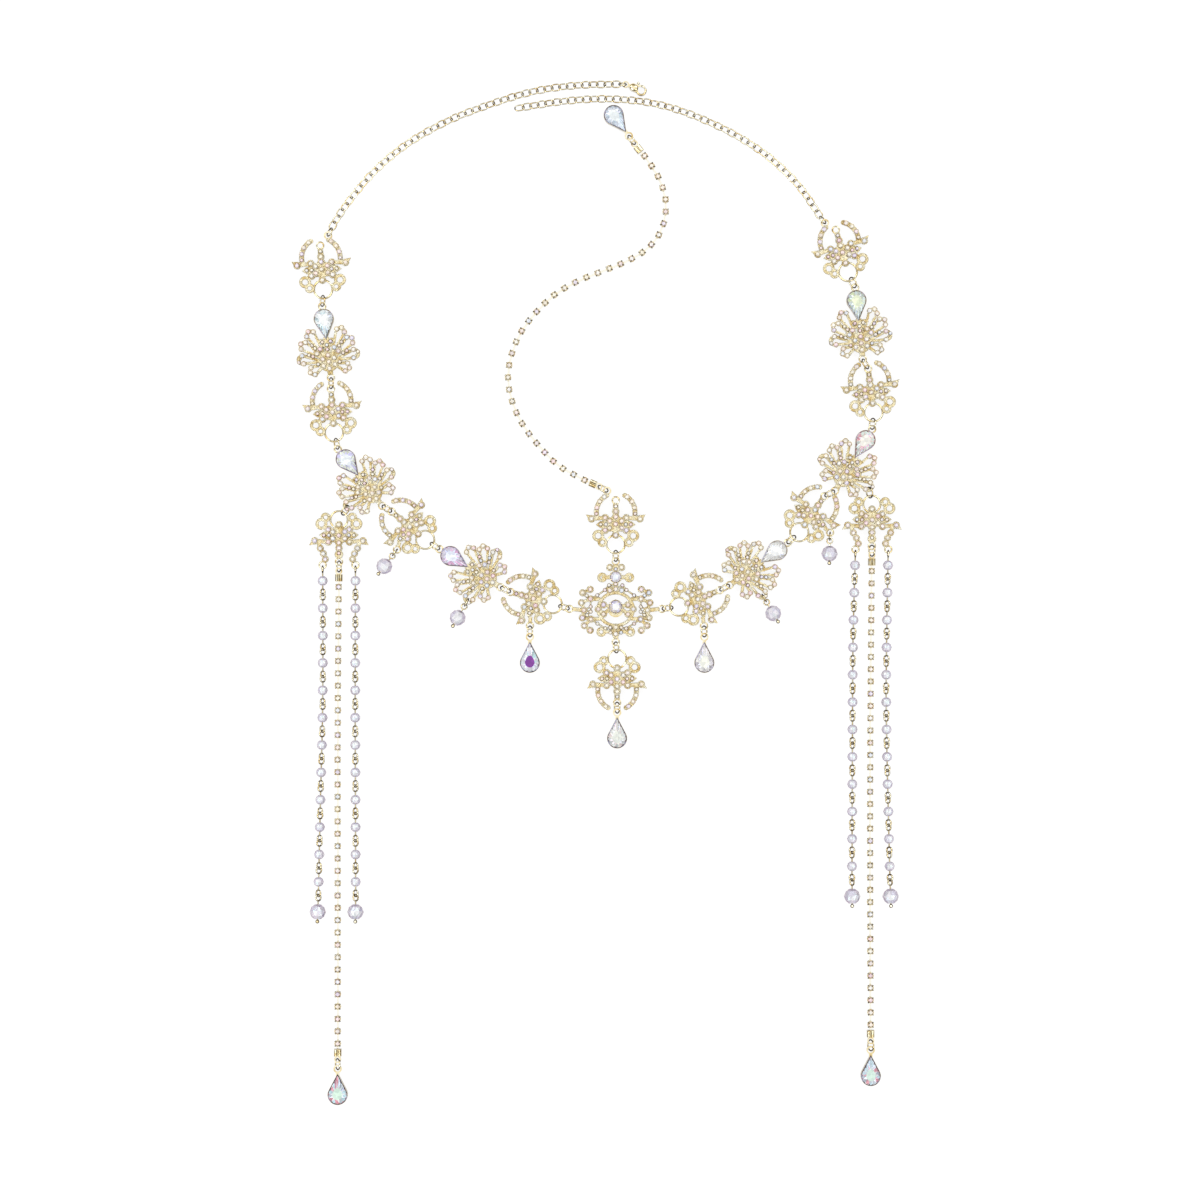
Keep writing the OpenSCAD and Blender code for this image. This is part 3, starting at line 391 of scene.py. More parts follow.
def pear_outline(length, width, count):
    """Points round a drop with its tip at the origin and its round end along Y."""
    r = width / 2
    d = length - r
    a = math.asin(r / d)
    side = math.sqrt(d * d - r * r)
    arc = r * (math.pi + 2 * a)
    points = []
    for i in range(count):
        s = i * (2 * side + arc) / count
        if s <= side:
            points.append(Vector((s * math.sin(a), s * math.cos(a), 0)))
        elif s < side + arc:
            t = -a + (s - side) / r
            points.append(Vector((r * math.cos(t), d + r * math.sin(t), 0)))
        else:
            back = 2 * side + arc - s
            points.append(Vector((-back * math.sin(a), back * math.cos(a), 0)))
    return points


def cut(outline, middle, table, height, girdle, depth):
    """Points, faces and kinds of facet of a stone, from its table over its rim to its underside."""
    count = len(outline)
    n = count // 2
    widest = 1.4 * table * min((p - middle).length for p in outline)
    bevel = 0.12 * height

    def drawn_in(i, share, z, limit=1.0):
        reach = share * (outline[i % count] - middle)
        q = middle + reach * min(1.0, limit / reach.length)
        return (q.x, q.y, z)

    points = [drawn_in(2 * i, table, height, widest) for i in range(n)]
    points += [drawn_in(2 * i + 1, (1.1 + table) / 2, 0.55 * height) for i in range(n)]
    points += [drawn_in(i, 0.92, 0) for i in range(count)]
    points += [drawn_in(i, 1, -bevel) for i in range(count)]
    points += [drawn_in(i, 1, -bevel - girdle) for i in range(count)]
    points.append((middle.x, middle.y, -depth))
    faces, kinds = [list(range(n))], ["table"]
    for i in range(n):
        after, before = (i + 1) % n, (i - 1) % n
        rim, rim_after = 2 * n + 2 * i, 2 * n + (2 * i + 2) % count
        faces += [[i, n + i, after], [i, n + before, rim, n + i]]
        faces += [[n + i, rim, rim + 1], [n + i, rim + 1, rim_after]]
        kinds += ["star", "kite", "rim", "rim"]
    for i in range(count):
        after = (i + 1) % count
        for low, high in ((2 * n, 4 * n), (4 * n, 6 * n)):
            faces.append([low + i, high + i, high + after, low + after])
        faces.append([6 * n + i, 8 * n, 6 * n + after])
        kinds += ["edge", "edge", "under"]
    return points, faces, kinds


# Tints of the tiny stones' coating, and the painted shade on their edges, where each stone meets its cup
SPARKLE = [
    (0.98, 0.90, 0.62), (0.98, 0.76, 0.64), (0.84, 0.74, 0.88), (0.99, 0.96, 0.78), (0.98, 0.88, 0.58),
    (0.80, 0.88, 0.92), (0.99, 0.84, 0.60), (0.99, 0.97, 0.86), (0.96, 0.66, 0.64), (0.99, 0.92, 0.66),
    (0.98, 0.93, 0.72), (0.97, 0.82, 0.70),
]
EDGE_SHADE = (0.29, 0.21, 0.15)


def shaded(colour, share):
    """A darker or lighter colour."""
    return tuple(max(0.0, min(1.0, c * share)) for c in colour)


def mixed(a, b, share):
    """A colour on the way from one to another."""
    return tuple(x + (y - x) * share for x, y in zip(a, b))


def small_stone(heap, middle, radius, dice):
    """Tiny stone with a table and 32 facets above its girdle, in some of the coating's tints, with painted
    reflections on the facets and painted shade at the edge.
    """
    main, other = dice.choice(SPARKLE), dice.choice(SPARKLE)
    outline = circle_outline(radius, 16)
    points, faces, kinds = cut(outline, Vector(), 0.55, 0.45 * radius, 0.1 * radius, 0.4 * radius)
    tints_and_shades = []
    # A paler table; painted shade on the edge, the underside and some rim facets, and painted reflections on
    # the other facets in two tints, some darker.
    for kind in kinds:
        if kind == "table":
            tints_and_shades.append(mixed(main, WHITE, 0.4))
        elif kind in ("edge", "under"):
            tints_and_shades.append(shaded(EDGE_SHADE, 0.7))
        elif kind == "rim":
            tints_and_shades.append(mixed(shaded(main, 0.85), EDGE_SHADE, dice.choice([0.3, 0.6, 0.9])))
        else:
            tints_and_shades.append(shaded(mixed(main, other, dice.random()), dice.choice([1.0, 1.0, 1.0, 0.7])))
    turn = Matrix.Rotation(dice.random(), 4, "Z")
    heap.add(points, faces, tints_and_shades, Matrix.Translation(middle) @ turn)


# Painted reflections of the large stones: colours of table, stars and kites, the painted shade of the
# outline, and the painted flash that some facets show
LARGE_STONE_REFLECTIONS = {
    "left_pear_1": [
        (0.98, 1.00, 0.95), (0.97, 0.99, 0.98), (0.92, 0.98, 0.97), (0.20, 0.17, 0.12), (0.72, 0.91, 0.93),
    ],
    "left_pear_2": [
        (0.93, 0.97, 0.95), (0.85, 0.89, 0.99), (0.90, 0.96, 0.82), (0.16, 0.12, 0.14), (0.64, 0.62, 0.92),
    ],
    "left_pear_3": [
        (0.90, 0.93, 1.00), (0.78, 0.83, 0.99), (0.90, 0.86, 0.97), (0.15, 0.11, 0.15), (0.95, 0.56, 0.82),
    ],
    "right_pear_3": [
        (0.99, 0.99, 0.94), (0.98, 0.97, 0.90), (0.95, 0.98, 0.93), (0.26, 0.23, 0.18), (0.90, 0.90, 0.86),
    ],
    "right_pear_2": [
        (0.98, 0.94, 0.82), (0.99, 0.90, 0.76), (0.84, 0.97, 0.89), (0.20, 0.12, 0.12), (0.93, 0.42, 0.52),
    ],
    "right_pear_1": [
        (0.90, 0.97, 0.66), (0.93, 0.98, 0.82), (0.82, 0.96, 0.92), (0.18, 0.15, 0.12), (0.80, 0.93, 0.55),
    ],
    "brow_left_drop_stone": [
        (0.26, 0.03, 0.32), (0.93, 0.88, 0.97), (0.92, 0.96, 0.97), (0.05, 0.04, 0.06), (0.58, 0.88, 0.88),
    ],
    "brow_middle_drop_stone": [
        (0.80, 0.82, 0.72), (0.94, 0.95, 0.84), (0.80, 0.86, 0.84), (0.05, 0.05, 0.06), (0.98, 0.84, 0.80),
    ],
    "brow_right_drop_stone": [
        (0.96, 0.96, 0.82), (0.97, 0.97, 0.92), (0.93, 0.93, 0.90), (0.10, 0.08, 0.08), (0.76, 0.74, 0.80),
    ],
    "left_tassel_drop_stone": [
        (0.74, 0.95, 0.76), (0.94, 0.98, 0.96), (0.62, 0.88, 0.95), (0.03, 0.03, 0.04), (0.93, 0.36, 0.44),
    ],
    "right_tassel_drop_stone": [
        (0.72, 0.91, 0.76), (0.92, 0.96, 0.98), (0.66, 0.87, 0.95), (0.03, 0.03, 0.05), (0.94, 0.42, 0.48),
    ],
    "crown_chain_drop_stone": [
        (0.93, 0.98, 0.94), (0.95, 0.97, 1.00), (0.80, 0.90, 0.99), (0.06, 0.05, 0.06), (0.72, 0.88, 0.98),
    ],
    "eye_centre_stone": [
        (0.98, 0.97, 0.92), (0.92, 0.92, 0.99), (0.98, 0.90, 0.76), (0.20, 0.15, 0.15), (0.74, 0.72, 0.95),
    ],
    "eye_top_stone": [
        (0.93, 0.97, 1.00), (0.86, 0.91, 0.99), (0.96, 0.95, 0.98), (0.18, 0.17, 0.20), (0.93, 0.84, 0.93),
    ],
}


def large_stone(node, place, outline, middle, height, depth, dice):
    """Stone with a double row of facets, that stands for the plainer one of the pack, in painted reflections
    with a painted dark outline.
    """
    table, star, kite, outline_shade, painted_flash = LARGE_STONE_REFLECTIONS[node]
    colours = {"table": table, "star": star, "kite": kite, "rim": star, "edge": outline_shade, "under": kite}
    points, faces, kinds = cut(outline, middle, 0.5, height, 0.12 * MM, depth)
    tints_and_shades = []
    for kind in kinds:
        tint_and_shade = colours[kind]
        # Painted reflections: some facets flash in another colour or are darker, and some rim facets take the
        # outline's painted shade.
        if kind in ("star", "kite", "rim"):
            tint_and_shade = mixed(tint_and_shade, painted_flash, dice.choice([0.0, 0.0, 0.15, 0.9]))
            tint_and_shade = shaded(tint_and_shade, dice.choice([1.0, 1.0, 0.9, 0.75]))
        if kind == "rim":
            tint_and_shade = mixed(tint_and_shade, outline_shade, dice.choice([0.0, 0.3, 0.8]))
        tints_and_shades.append(tint_and_shade)
    heap = Heap()
    heap.add(points, faces, tints_and_shades, place)
    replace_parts(heap.piece(node + "_cut", LARGE_STONE, CRYSTAL), node)


# Materials

# Clouds of gold in a metre, and its tones by the strength of a cloud
GOLD_CLOUDS = 420.0
GOLD_TONES = [(0.34, (0.72, 0.52, 0.21)), (0.48, (0.93, 0.80, 0.47)), (0.66, (1.0, 0.95, 0.74))]
# Painted shade for the dark surroundings that sloped faces reflect: shares of their colour that upright walls
# and slopes keep, and the Z of a normal from which all of it stays
GOLD_WALL_SHADE, GOLD_SLOPE_SHADE, GOLD_LEVEL = (0.26, 0.21, 0.13), (0.055, 0.045, 0.038), 0.96
BEAD_WALL_SHADE, BEAD_SLOPE_SHADE, BEAD_LEVEL = (0.74, 0.71, 0.74), (0.56, 0.52, 0.57), 0.8
# Painted light on the bars between the cups of a chain: the near-white colour of their shine
BAR_PAINTED_LIGHT = (0.99, 0.97, 0.87)


def material(name):
    """New material with its node tree and its shader."""
    made = bpy.data.materials.new(name)
    made.use_nodes = True
    return made, made.node_tree, made.node_tree.nodes["Principled BSDF"]


def textured(tree, kind, **values):
    """Texture node that is placed by the object's own metres."""
    node = tree.nodes.new(kind)
    place = tree.nodes.new("ShaderNodeTexCoord")
    tree.links.new(place.outputs["Object"], node.inputs["Vector"])
    for key, value in values.items():
        node.inputs[key].default_value = value
    return node


def ramp(tree, source, stops):
    """Colour that goes through stops, each a position and a colour, as the source rises."""
    node = tree.nodes.new("ShaderNodeValToRGB")
    elements = node.color_ramp.elements
    for i in (0, -1):
        elements[i].position = stops[i][0]
        elements[i].color = (*stops[i][1], 1)
    for position, colour in stops[1:-1]:
        elements.new(position).color = (*colour, 1)
    tree.links.new(source, node.inputs["Fac"])
    return node.outputs["Color"]


def height_of(tree, vector):
    """The Z of a vector."""
    split = tree.nodes.new("ShaderNodeSeparateXYZ")
    tree.links.new(vector, split.inputs["Vector"])
    return split.outputs["Z"]


def colour_mix(tree, blend):
    """Mix of colours: its factor, its two colours and its result."""
    mix = tree.nodes.new("ShaderNodeMix")
    mix.data_type = "RGBA"
    mix.blend_type = blend
    a_in, b_in = [i for i in mix.inputs if i.type == "RGBA"]
    return mix.inputs["Factor"], a_in, b_in, next(o for o in mix.outputs if o.type == "RGBA")


def multiplied(tree, a, b):
    factor, a_in, b_in, result = colour_mix(tree, "MULTIPLY")
    factor.default_value = 1.0
    tree.links.new(a, a_in)
    tree.links.new(b, b_in)
    return result


def painted_slope_shade(tree, colour, wall, slope_shade, level):
    """A colour with painted shade on the slopes of a form, for the dark surroundings that they reflect, and
    less of it on upright walls.
    """
    normal = tree.nodes.new("ShaderNodeNewGeometry")
    up = height_of(tree, normal.outputs["Normal"])
    # Painted shade: the colour keeps only a share of itself where the normal leans away from upright.
    share = ramp(tree, up, [(0.05, wall), (0.25, slope_shade), (0.5, slope_shade), (level, WHITE)])
    return multiplied(tree, colour, share)


def bumped(tree, shader, height, strength, distance):
    """Relief on the shader from a texture's height."""
    bump = tree.nodes.new("ShaderNodeBump")
    bump.inputs["Strength"].default_value = strength
    bump.inputs["Distance"].default_value = distance
    tree.links.new(height, bump.inputs["Height"])
    tree.links.new(bump.outputs["Normal"], shader.inputs["Normal"])


def gold_plate(name, roughness, spread, grain_size, relief, share=1.0):
    """Pale yellow plating: cloudy in tone and gloss, with fine unevenness from casting or drawing, and
    painted shade on its slopes and walls.
    """
    made, tree, shader = material(name)
    cloud = textured(tree, "ShaderNodeTexNoise", Scale=GOLD_CLOUDS, Detail=3.0, Roughness=0.6)
    fine = textured(tree, "ShaderNodeTexNoise", Scale=1 / grain_size, Detail=2.0, Roughness=0.5)
    tone = ramp(tree, cloud.outputs["Fac"], [(level, shaded(colour, share)) for level, colour in GOLD_TONES])
    glossy, dull = (roughness - spread,) * 3, (roughness + spread,) * 3
    gloss = ramp(tree, fine.outputs["Fac"], [(0.3, glossy), (0.7, dull)])
    # The base colour carries painted shade on slopes and walls.
    tree.links.new(painted_slope_shade(tree, tone, GOLD_WALL_SHADE, GOLD_SLOPE_SHADE, GOLD_LEVEL), shader.inputs["Base Color"])
    tree.links.new(gloss, shader.inputs["Roughness"])
    shader.inputs["Metallic"].default_value = 1.0
    bumped(tree, shader, fine.outputs["Fac"], relief, grain_size / 4)
    return made


def painted_light_below(made, height, colour):
    """Metal that goes over to a paler colour below a height: painted light on the bars between the cups of a
    chain, where they shine near white.
    """
    tree = made.node_tree
    base = tree.nodes["Principled BSDF"].inputs["Base Color"]
    gold = base.links[0].from_socket
    place = tree.nodes.new("ShaderNodeTexCoord")
    level = tree.nodes.new("ShaderNodeMapRange")
    level.inputs["From Min"].default_value = height - 0.05 * MM
    level.inputs["From Max"].default_value = height + 0.05 * MM
    tree.links.new(height_of(tree, place.outputs["Object"]), level.inputs["Value"])
    factor, a_in, b_in, result = colour_mix(tree, "MIX")
    tree.links.new(level.outputs["Result"], factor)
    a_in.default_value = (*colour, 1)
    tree.links.new(gold, b_in)
    tree.links.new(result, base)


def tint_with_painted_cells(tree, source, low, cell):
    """The facets' tints, broken up by painted cells of light and shade as from facets underneath."""
    tint_and_shade = tree.nodes.new("ShaderNodeAttribute")
    tint_and_shade.attribute_name = "tint_and_shade"
    cells = textured(tree, source, Scale=1 / cell)
    grey = tree.nodes.new("ShaderNodeSeparateColor")
    tree.links.new(cells.outputs["Color"], grey.inputs["Color"])
    shade = ramp(tree, grey.outputs["Red"], [(0.1, low), (0.9, WHITE)])
    return multiplied(tree, tint_and_shade.outputs["Color"], shade)


def cut_crystal(name, cell, low):
    """Foiled crystal: bright tints with painted cells of light and shade from facets underneath, down to a
    darkest colour, behind hard clear gloss with a thin film.
    """
    made, tree, shader = material(name)
    tree.links.new(tint_with_painted_cells(tree, "ShaderNodeTexVoronoi", low, cell), shader.inputs["Base Color"])
    shader.inputs["Roughness"].default_value = 0.12
    shader.inputs["IOR"].default_value = 1.6
    shader.inputs["Coat Weight"].default_value = 1.0
    shader.inputs["Coat Roughness"].default_value = 0.02
    shader.inputs["Thin Film Thickness"].default_value = 320.0
    shader.inputs["Thin Film IOR"].default_value = 1.4
    return made


def bead_crystal(name):
    """Milky crystal with a soft film of colour, painted cells of light and shade, and painted shade on its
    slopes and walls.
    """
    made, tree, shader = material(name)
    milk_with_painted_cells = tint_with_painted_cells(tree, "ShaderNodeTexNoise", (0.94, 0.92, 0.97), 0.8 * MM)
    tree.links.new(painted_slope_shade(tree, milk_with_painted_cells, BEAD_WALL_SHADE, BEAD_SLOPE_SHADE, BEAD_LEVEL), shader.inputs["Base Color"])
    shader.inputs["Roughness"].default_value = 0.1
    shader.inputs["IOR"].default_value = 1.52
    shader.inputs["Transmission Weight"].default_value = 0.2
    shader.inputs["Coat Weight"].default_value = 0.6
    shader.inputs["Coat Roughness"].default_value = 0.04
    shader.inputs["Thin Film Thickness"].default_value = 380.0
    shader.inputs["Thin Film IOR"].default_value = 1.38
    return made


# Golds: roughness and its spread, size and relief of their unevenness, and brightness
CAST = gold_plate("cast_gold", 0.22, 0.07, 0.5 * MM, 0.9)
WIRE = gold_plate("wire_gold", 0.15, 0.04, 0.4 * MM, 0.3)
POLISHED = gold_plate("polished_gold", 0.12, 0.04, 0.7 * MM, 0.35)
# The claws' gold keeps only 0.28 of its brightness: painted shade for the dark surroundings that claws
# reflect.
SHADED_CLAW = gold_plate("shaded_claw_gold", 0.2, 0.05, 0.3 * MM, 0.4, 0.28)
CHAIN = gold_plate("chain_gold_painted_bar_light", 0.12, 0.04, 0.7 * MM, 0.35)
# The bars below the cups get painted light.
painted_light_below(CHAIN, CHAIN_BAR_TOP + 0.1 * MM, BAR_PAINTED_LIGHT)
STONE = cut_crystal("small_stones", 0.45 * MM, (0.72, 0.70, 0.74))
LARGE_STONE = cut_crystal("large_stones", 1.1 * MM, (0.74, 0.74, 0.76))
MILKY = bead_crystal("milky_beads")


# The ornament's own pieces

def dress(node, finish):
    """Gives a node of the pack its material."""
    for material_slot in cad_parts[node].material_slots:
        material_slot.material = finish


def stones_on(middles, radius, rise, dice):
    heap = Heap()
    for middle in middles:
        small_stone(heap, middle + Vector((0, 0, rise)), radius, dice)
    return heap


def edge_wires(node, heap):
    """Thin raised wire along the top edges of a pierced plate."""
    for path, closed in paths_of(edges_at(node, PLATE_TOP, only_below=True)):
        if len(path) > 2:
            wire(heap, path, closed, EDGE_WIRE_R)


def loop_wire(heap, middle, radius, wall):
    """Round wire let into a flat ring, so that the ring looks drawn from wire."""
    ring = ring_of(radius, 40 if radius > 2 * MM else 20, LOOP_TOP - LOOP_WIRE_SUNK)
    place = Matrix.Translation((middle.x, middle.y, 0))
    wire(heap, [place @ Vector(p) for p in ring], True, LOOP_WIRE_SHARE * wall, 8)


def loops(heap, node):
    """Wires of a node's eyelets, and of the big loop of a small plaque or tassel head."""
    for path, closed in paths_of(edges_at(node, LOOP_TOP)):
        middle, half = middle_and_half(path)
        spread = [(p - middle).length for p in path]
        if closed and max(spread) - min(spread) < EYELET_OFF and EYELET_R[0] < half.x < EYELET_R[1]:
            loop_wire(heap, middle, half.x + EYELET_WALL / 2, EYELET_WALL)
    for places, (y, radius) in ((SMALL_PLAQUES, ROW_LOOP), (TASSEL_HEADS, HEAD_LOOP)):
        if node in places:
            middle = placed_at(places[node]) @ Vector((0, y * MM, 0))
            loop_wire(heap, middle, radius * MM, LOOP_WALL)


def cup_grains(heap, middles, turn):
    """Four grains on the rim of each cup, pushed over its stone."""
    for middle in middles:
        for p in ring_of(CUP_GRAIN_REACH, 4, 0, turn):
            grain(heap, middle + Vector(p), CUP_GRAIN_R)


def granulation(node, heap, taken, dice):
    """Fine grains strewn on the free top of a plate, clear of its stones."""
    tops = [
        corners for corners, normal in faces_of(node)
        if normal.z > 0.9 and all(abs(c.z - PLATE_TOP) < NEAR for c in corners)
    ]
    sizes = [(b - a).cross(c - a).length / 2 for a, b, c in tops]
    placed = []
    for a, b, c in dice.choices(tops, weights=sizes, k=round(GRAIN_TRIES * sum(sizes) / MM ** 2)):
        u, v = dice.random(), dice.random()
        if u + v > 1:
            u, v = 1 - u, 1 - v
        middle = a + u * (b - a) + v * (c - a)
        if any((middle - m).xy.length < r for m, r in taken):
            continue
        if any((middle - m).length < GRAIN_APART for m in placed):
            continue
        placed.append(middle)
        grain(heap, middle, dice.uniform(*GRAIN_R) * MM)


def placed_at(place):
    """Frame of a plaque, from its middle in mm and its turn in degrees."""
    (x, y), turn = place
    return Matrix.Translation(Vector((x, y, 0)) * MM) @ Matrix.Rotation(math.radians(turn), 4, "Z")


def inside_pear_setting(p, grow):
    """Whether a point in the frame of a large plaque, in mm, is within a distance of the setting."""
    end = PEAR_TIP + PEAR_REACH
    if math.hypot(p[0], p[1] - end) < PEAR_R + grow:
        return True
    half = math.asin(PEAR_R / PEAR_REACH)
    beside = abs(p[0]) * math.cos(half) - (p[1] - PEAR_TIP) * math.sin(half)
    return PEAR_TIP - grow < p[1] < end and beside < grow


def on_turn(turn, reach):
    """Point at a distance from the hub, at a turn from the pear stone in degrees."""
    return reach * math.sin(math.radians(turn)), reach * math.cos(math.radians(turn))


def petal_rows():
    """Points in mm where stones can stand: rows between neighbouring petals, then the petals' round ends."""
    rows = []
    for side in (1, -1):
        for (turn, reach), (next_turn, next_reach) in zip(PETALS, PETALS[1:]):
            steps = round((min(reach, next_reach) - ROW_END_GAP - ROW_START) * 10)
            rows += [on_turn(side * (turn + next_turn) / 2, ROW_START + 0.1 * i) for i in range(steps)]
        for turn, reach in PETALS:
            x, y = on_turn(side * turn, reach)
            for i in range(-60, 61):
                dx, dy = on_turn(side * turn + 2 * i, PETAL_RIM_R)
                rows.append((x + dx, y + dy))
    return rows


def mirrored(points):
    """Points on the right half of a plaque, each with its mirror image unless it is on the middle line."""
    return [(side * x, y) for x, y in points for side in ((1, -1) if x else (1,))]


def stone_points(node):
    """Points in mm in a plaque's frame where smaller stones may stand, the first ones first."""
    if node in LARGE_PLAQUES:
        return [p for p in mirrored(PEAR_STEM_STONES) + petal_rows() if not inside_pear_setting(p, PEAR_ROOM)]
    return mirrored(EYE_STONES if node == EYE else SMALL_STONES)


def added_stones(node, taken, stones, trim, dice):
    """Small bezels with stones between a plaque's cups, wherever what is there leaves room."""
    added = []
    for x, y in stone_points(node):
        middle = placed_at(PLAQUES[node]) @ Vector((x * MM, y * MM, BEZEL_TOP))
        gap_to_cup = min((middle - m).xy.length for m in taken) - CUP_R - BEZEL_OUTER
        gap_to_added = min([(middle - m).xy.length for m in added] or [1.0]) - 2 * BEZEL_OUTER
        if min(gap_to_cup, gap_to_added) < BEZEL_GAP:
            continue
        for near in sorted(taken + added, key=lambda m: (middle - m).xy.length)[:2]:
            wire(trim, [Vector((m.x, m.y, STRUT_Z)) for m in (middle, near)], False, STRUT_R)
        added.append(middle)
        bezel(trim, middle, BEZEL_OUTER, BEZEL_INNER, BEZEL_FOOT, BEZEL_TOP)
        small_stone(stones, middle + Vector((0, 0, BEZEL_STONE_RISE)), BEZEL_STONE_R, dice)
    return added


def plaque(node, rings, dice):
    """Stones on a plaque with the grains and bezels that hold them, and wire along its edges and loops."""
    dress(node, CAST)
    middles = seats(node, CUP_TOP, SEAT_R)
    trim = Heap()
    cup_grains(trim, middles, dice.random())
    edge_wires(node, trim)
    stones = stones_on(middles, CUP_STONE_R, CUP_STONE_RISE, dice)
    added = added_stones(node, middles, stones, trim, dice)
    granulation(node, trim, [(m, CUP_ROOM) for m in middles] + [(m, BEZEL_ROOM) for m in added], dice)
    if node == EYE:
        for stone in ROUND_GROWTH:
            round_stone(stone, trim, dice)
    stones.piece(node + "_stones", STONE, CRYSTAL)
    trim.piece(node + "_trim", CAST, GOLD)
    loops(rings, node)


def pear(node, dice):
    """Pear stone that lies on the rim of its setting, larger all round than the one of the pack."""
    place, length, width = pear_frame(node)
    grown = 1 + PEAR_GROWTH / width
    back = (grown - 1) * (length - width / 2)
    middle = Vector((0, grown * (length - 0.53 * width), 0))
    outline = pear_outline(grown * length, grown * width, 32)
    place = Matrix.Translation((0, 0, PEAR_GIRDLE)) @ place @ Matrix.Translation((0, -back, 0))
    large_stone(node, place, outline, middle, PEAR_HEIGHT, PEAR_DEPTH, dice)


def round_stone(node, trim, dice):
    """Round stone of the eye plaque, with its claws."""
    middle, half = middle_and_half([p for corners, _ in faces_of(node) for p in corners])
    radius = half.x + ROUND_GROWTH[node]
    place = Matrix.Translation((middle.x, middle.y, ROUND_GIRDLE))
    large_stone(node, place, circle_outline(radius, 24), Vector(), ROUND_HEIGHT, ROUND_DEPTH, dice)
    foot = Vector((middle.x, middle.y, CUP_TOP))
    reach, turn = radius + EYE_CLAW_GAP, math.pi / EYE_CLAWS
    claws_round(trim, foot, EYE_CLAWS, EYE_CLAW_HEIGHT, reach, EYE_CLAW_WIDTH, turn)


BEAD_TINTS = [
    (0.99, 0.98, 1.0), (0.93, 0.90, 0.99), (1.0, 0.99, 1.0), (0.99, 0.93, 0.98),
    (1.0, 1.0, 1.0), (0.86, 0.84, 0.95), (0.95, 0.98, 1.0),
]


def bead_axis(faces, middle):
    """Direction of the hole in a bead: across the normals of the faces that look at its middle."""
    bore = [normal for corners, normal in faces if normal.dot(middle - corners[0]) > 0]
    first = bore[0]
    other = max(bore, key=lambda n: first.cross(n).length)
    return first.cross(other).normalized()


def faceted_bead(heap, middle, axis, radius, dice):
    """Drilled bead with three bands of facets, staggered from ring to ring."""
    count = 12
    levels = [(0.42, -0.87), (0.80, -0.56), (1.0, 0.0), (0.80, 0.56), (0.42, 0.87)]
    points = []
    for k, (share, z) in enumerate(levels):
        points += ring_of(share * radius, count, z * radius, math.pi / count * (k % 2))
    for _, z in (levels[-1], levels[0]):
        points += ring_of(BEAD_HOLE_R, count, z * radius)
    faces = []
    for k in range(len(levels) - 1):
        for i in range(count):
            j = (i + 1) % count
            low, high = k * count, (k + 1) * count
            if k % 2 == 0:
                faces += [[low + i, low + j, high + i], [low + j, high + j, high + i]]
            else:
                faces += [[low + i, low + j, high + j], [low + i, high + j, high + i]]
    for k in range(len(levels) - 1, len(levels) + 2):
        for i in range(count):
            j = (i + 1) % count
            low, high = k * count, (k + 1) % (len(levels) + 2) * count
            faces.append([low + i, low + j, high + j, high + i])
    # Each facet takes one of the beads' tints, and some are darker: painted shade that sets the facets apart.
    tints_and_shades = [shaded(dice.choice(BEAD_TINTS), dice.choice([1.0, 1.0, 0.96, 0.84])) for _ in faces]
    turn = axis.to_track_quat("Z", "Y").to_matrix().to_4x4()
    heap.add(points, faces, tints_and_shades, Matrix.Translation(middle) @ turn)


def beads(node, dice):
    heap = Heap()
    for solid in solids(node):
        middle, half = middle_and_half([p for corners, _ in solid for p in corners])
        faceted_bead(heap, middle, bead_axis(solid, middle), half.z * BEAD_GROWTH, dice)
    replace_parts(heap.piece(node + "_faceted", MILKY, BEAD), node)


def cup_chain(node, dice):
    """Stone and four claws in each cup of a chain, the claws at the corners that its bars leave free."""
    dress(node, CHAIN)
    middles = seats(node, CHAIN_CUP_TOP, CHAIN_SEAT_R)
    claws = Heap()
    for middle in middles:
        near = sorted(middles, key=lambda m: (m - middle).length)[1]
        along = near - middle
        turn = math.atan2(along.y, along.x) + math.pi / 4
        claws_round(claws, middle, CHAIN_CLAWS, CHAIN_CLAW_HEIGHT, CHAIN_CLAW_REACH, CHAIN_CLAW_WIDTH, turn)
    claws.piece(node + "_claws", SHADED_CLAW, GOLD)
    stones_on(middles, CHAIN_STONE_R, CHAIN_STONE_RISE, dice).piece(node + "_stones", STONE, CRYSTAL)


def folds():
    """Two rolled flaps on each folded end of the cup chains, side by side on top of its box."""
    heap = Heap()
    for solid in solids("cup_chain_ends"):
        points = list({spot(p): p for corners, _ in solid for p in corners}.values())
        box_middle, _ = middle_and_half([p for p in points if p.z < FLAP_BOX_FOOT])
        whole_middle = sum(points, Vector()) / len(points)
        along = ((box_middle - whole_middle) * Vector((1, 1, 0))).normalized()
        across = Vector((-along.y, along.x, 0))
        start = Vector((box_middle.x, box_middle.y, LOOP_TOP))
        for side in (1, -1):
            beside = start + side * FLAP_SIDE * across
            wire(heap, [beside + reach * MM * along for reach in FLAP_POINTS], False, FLAP_R, 10)
    heap.piece("cup_chain_ends_folds", POLISHED, GOLD, smooth=True)


def dome(heap, place, middle, top, half):
    """Rounded swelling with a flat underside, oval from above, with its three half sizes in mm."""
    count = 20
    levels = [(1.0, 0.0), (0.95, 0.35), (0.78, 0.68), (0.45, 0.93)]
    half_x, half_y, height = [size * MM for size in half]
    points = [
        (share * half_x * x, share * half_y * y, height * z)
        for share, z in levels
        for x, y, _ in ring_of(1.0, count, 0)
    ]
    points.append((0, 0, height))
    faces = bands(len(levels), count)
    last = (len(levels) - 1) * count
    faces += [[last + i, last + (i + 1) % count, last + count] for i in range(count)]
    faces.append(list(reversed(range(count))))
    heap.add(points, faces, place=place @ Matrix.Translation(Vector((*middle, top)) * MM))


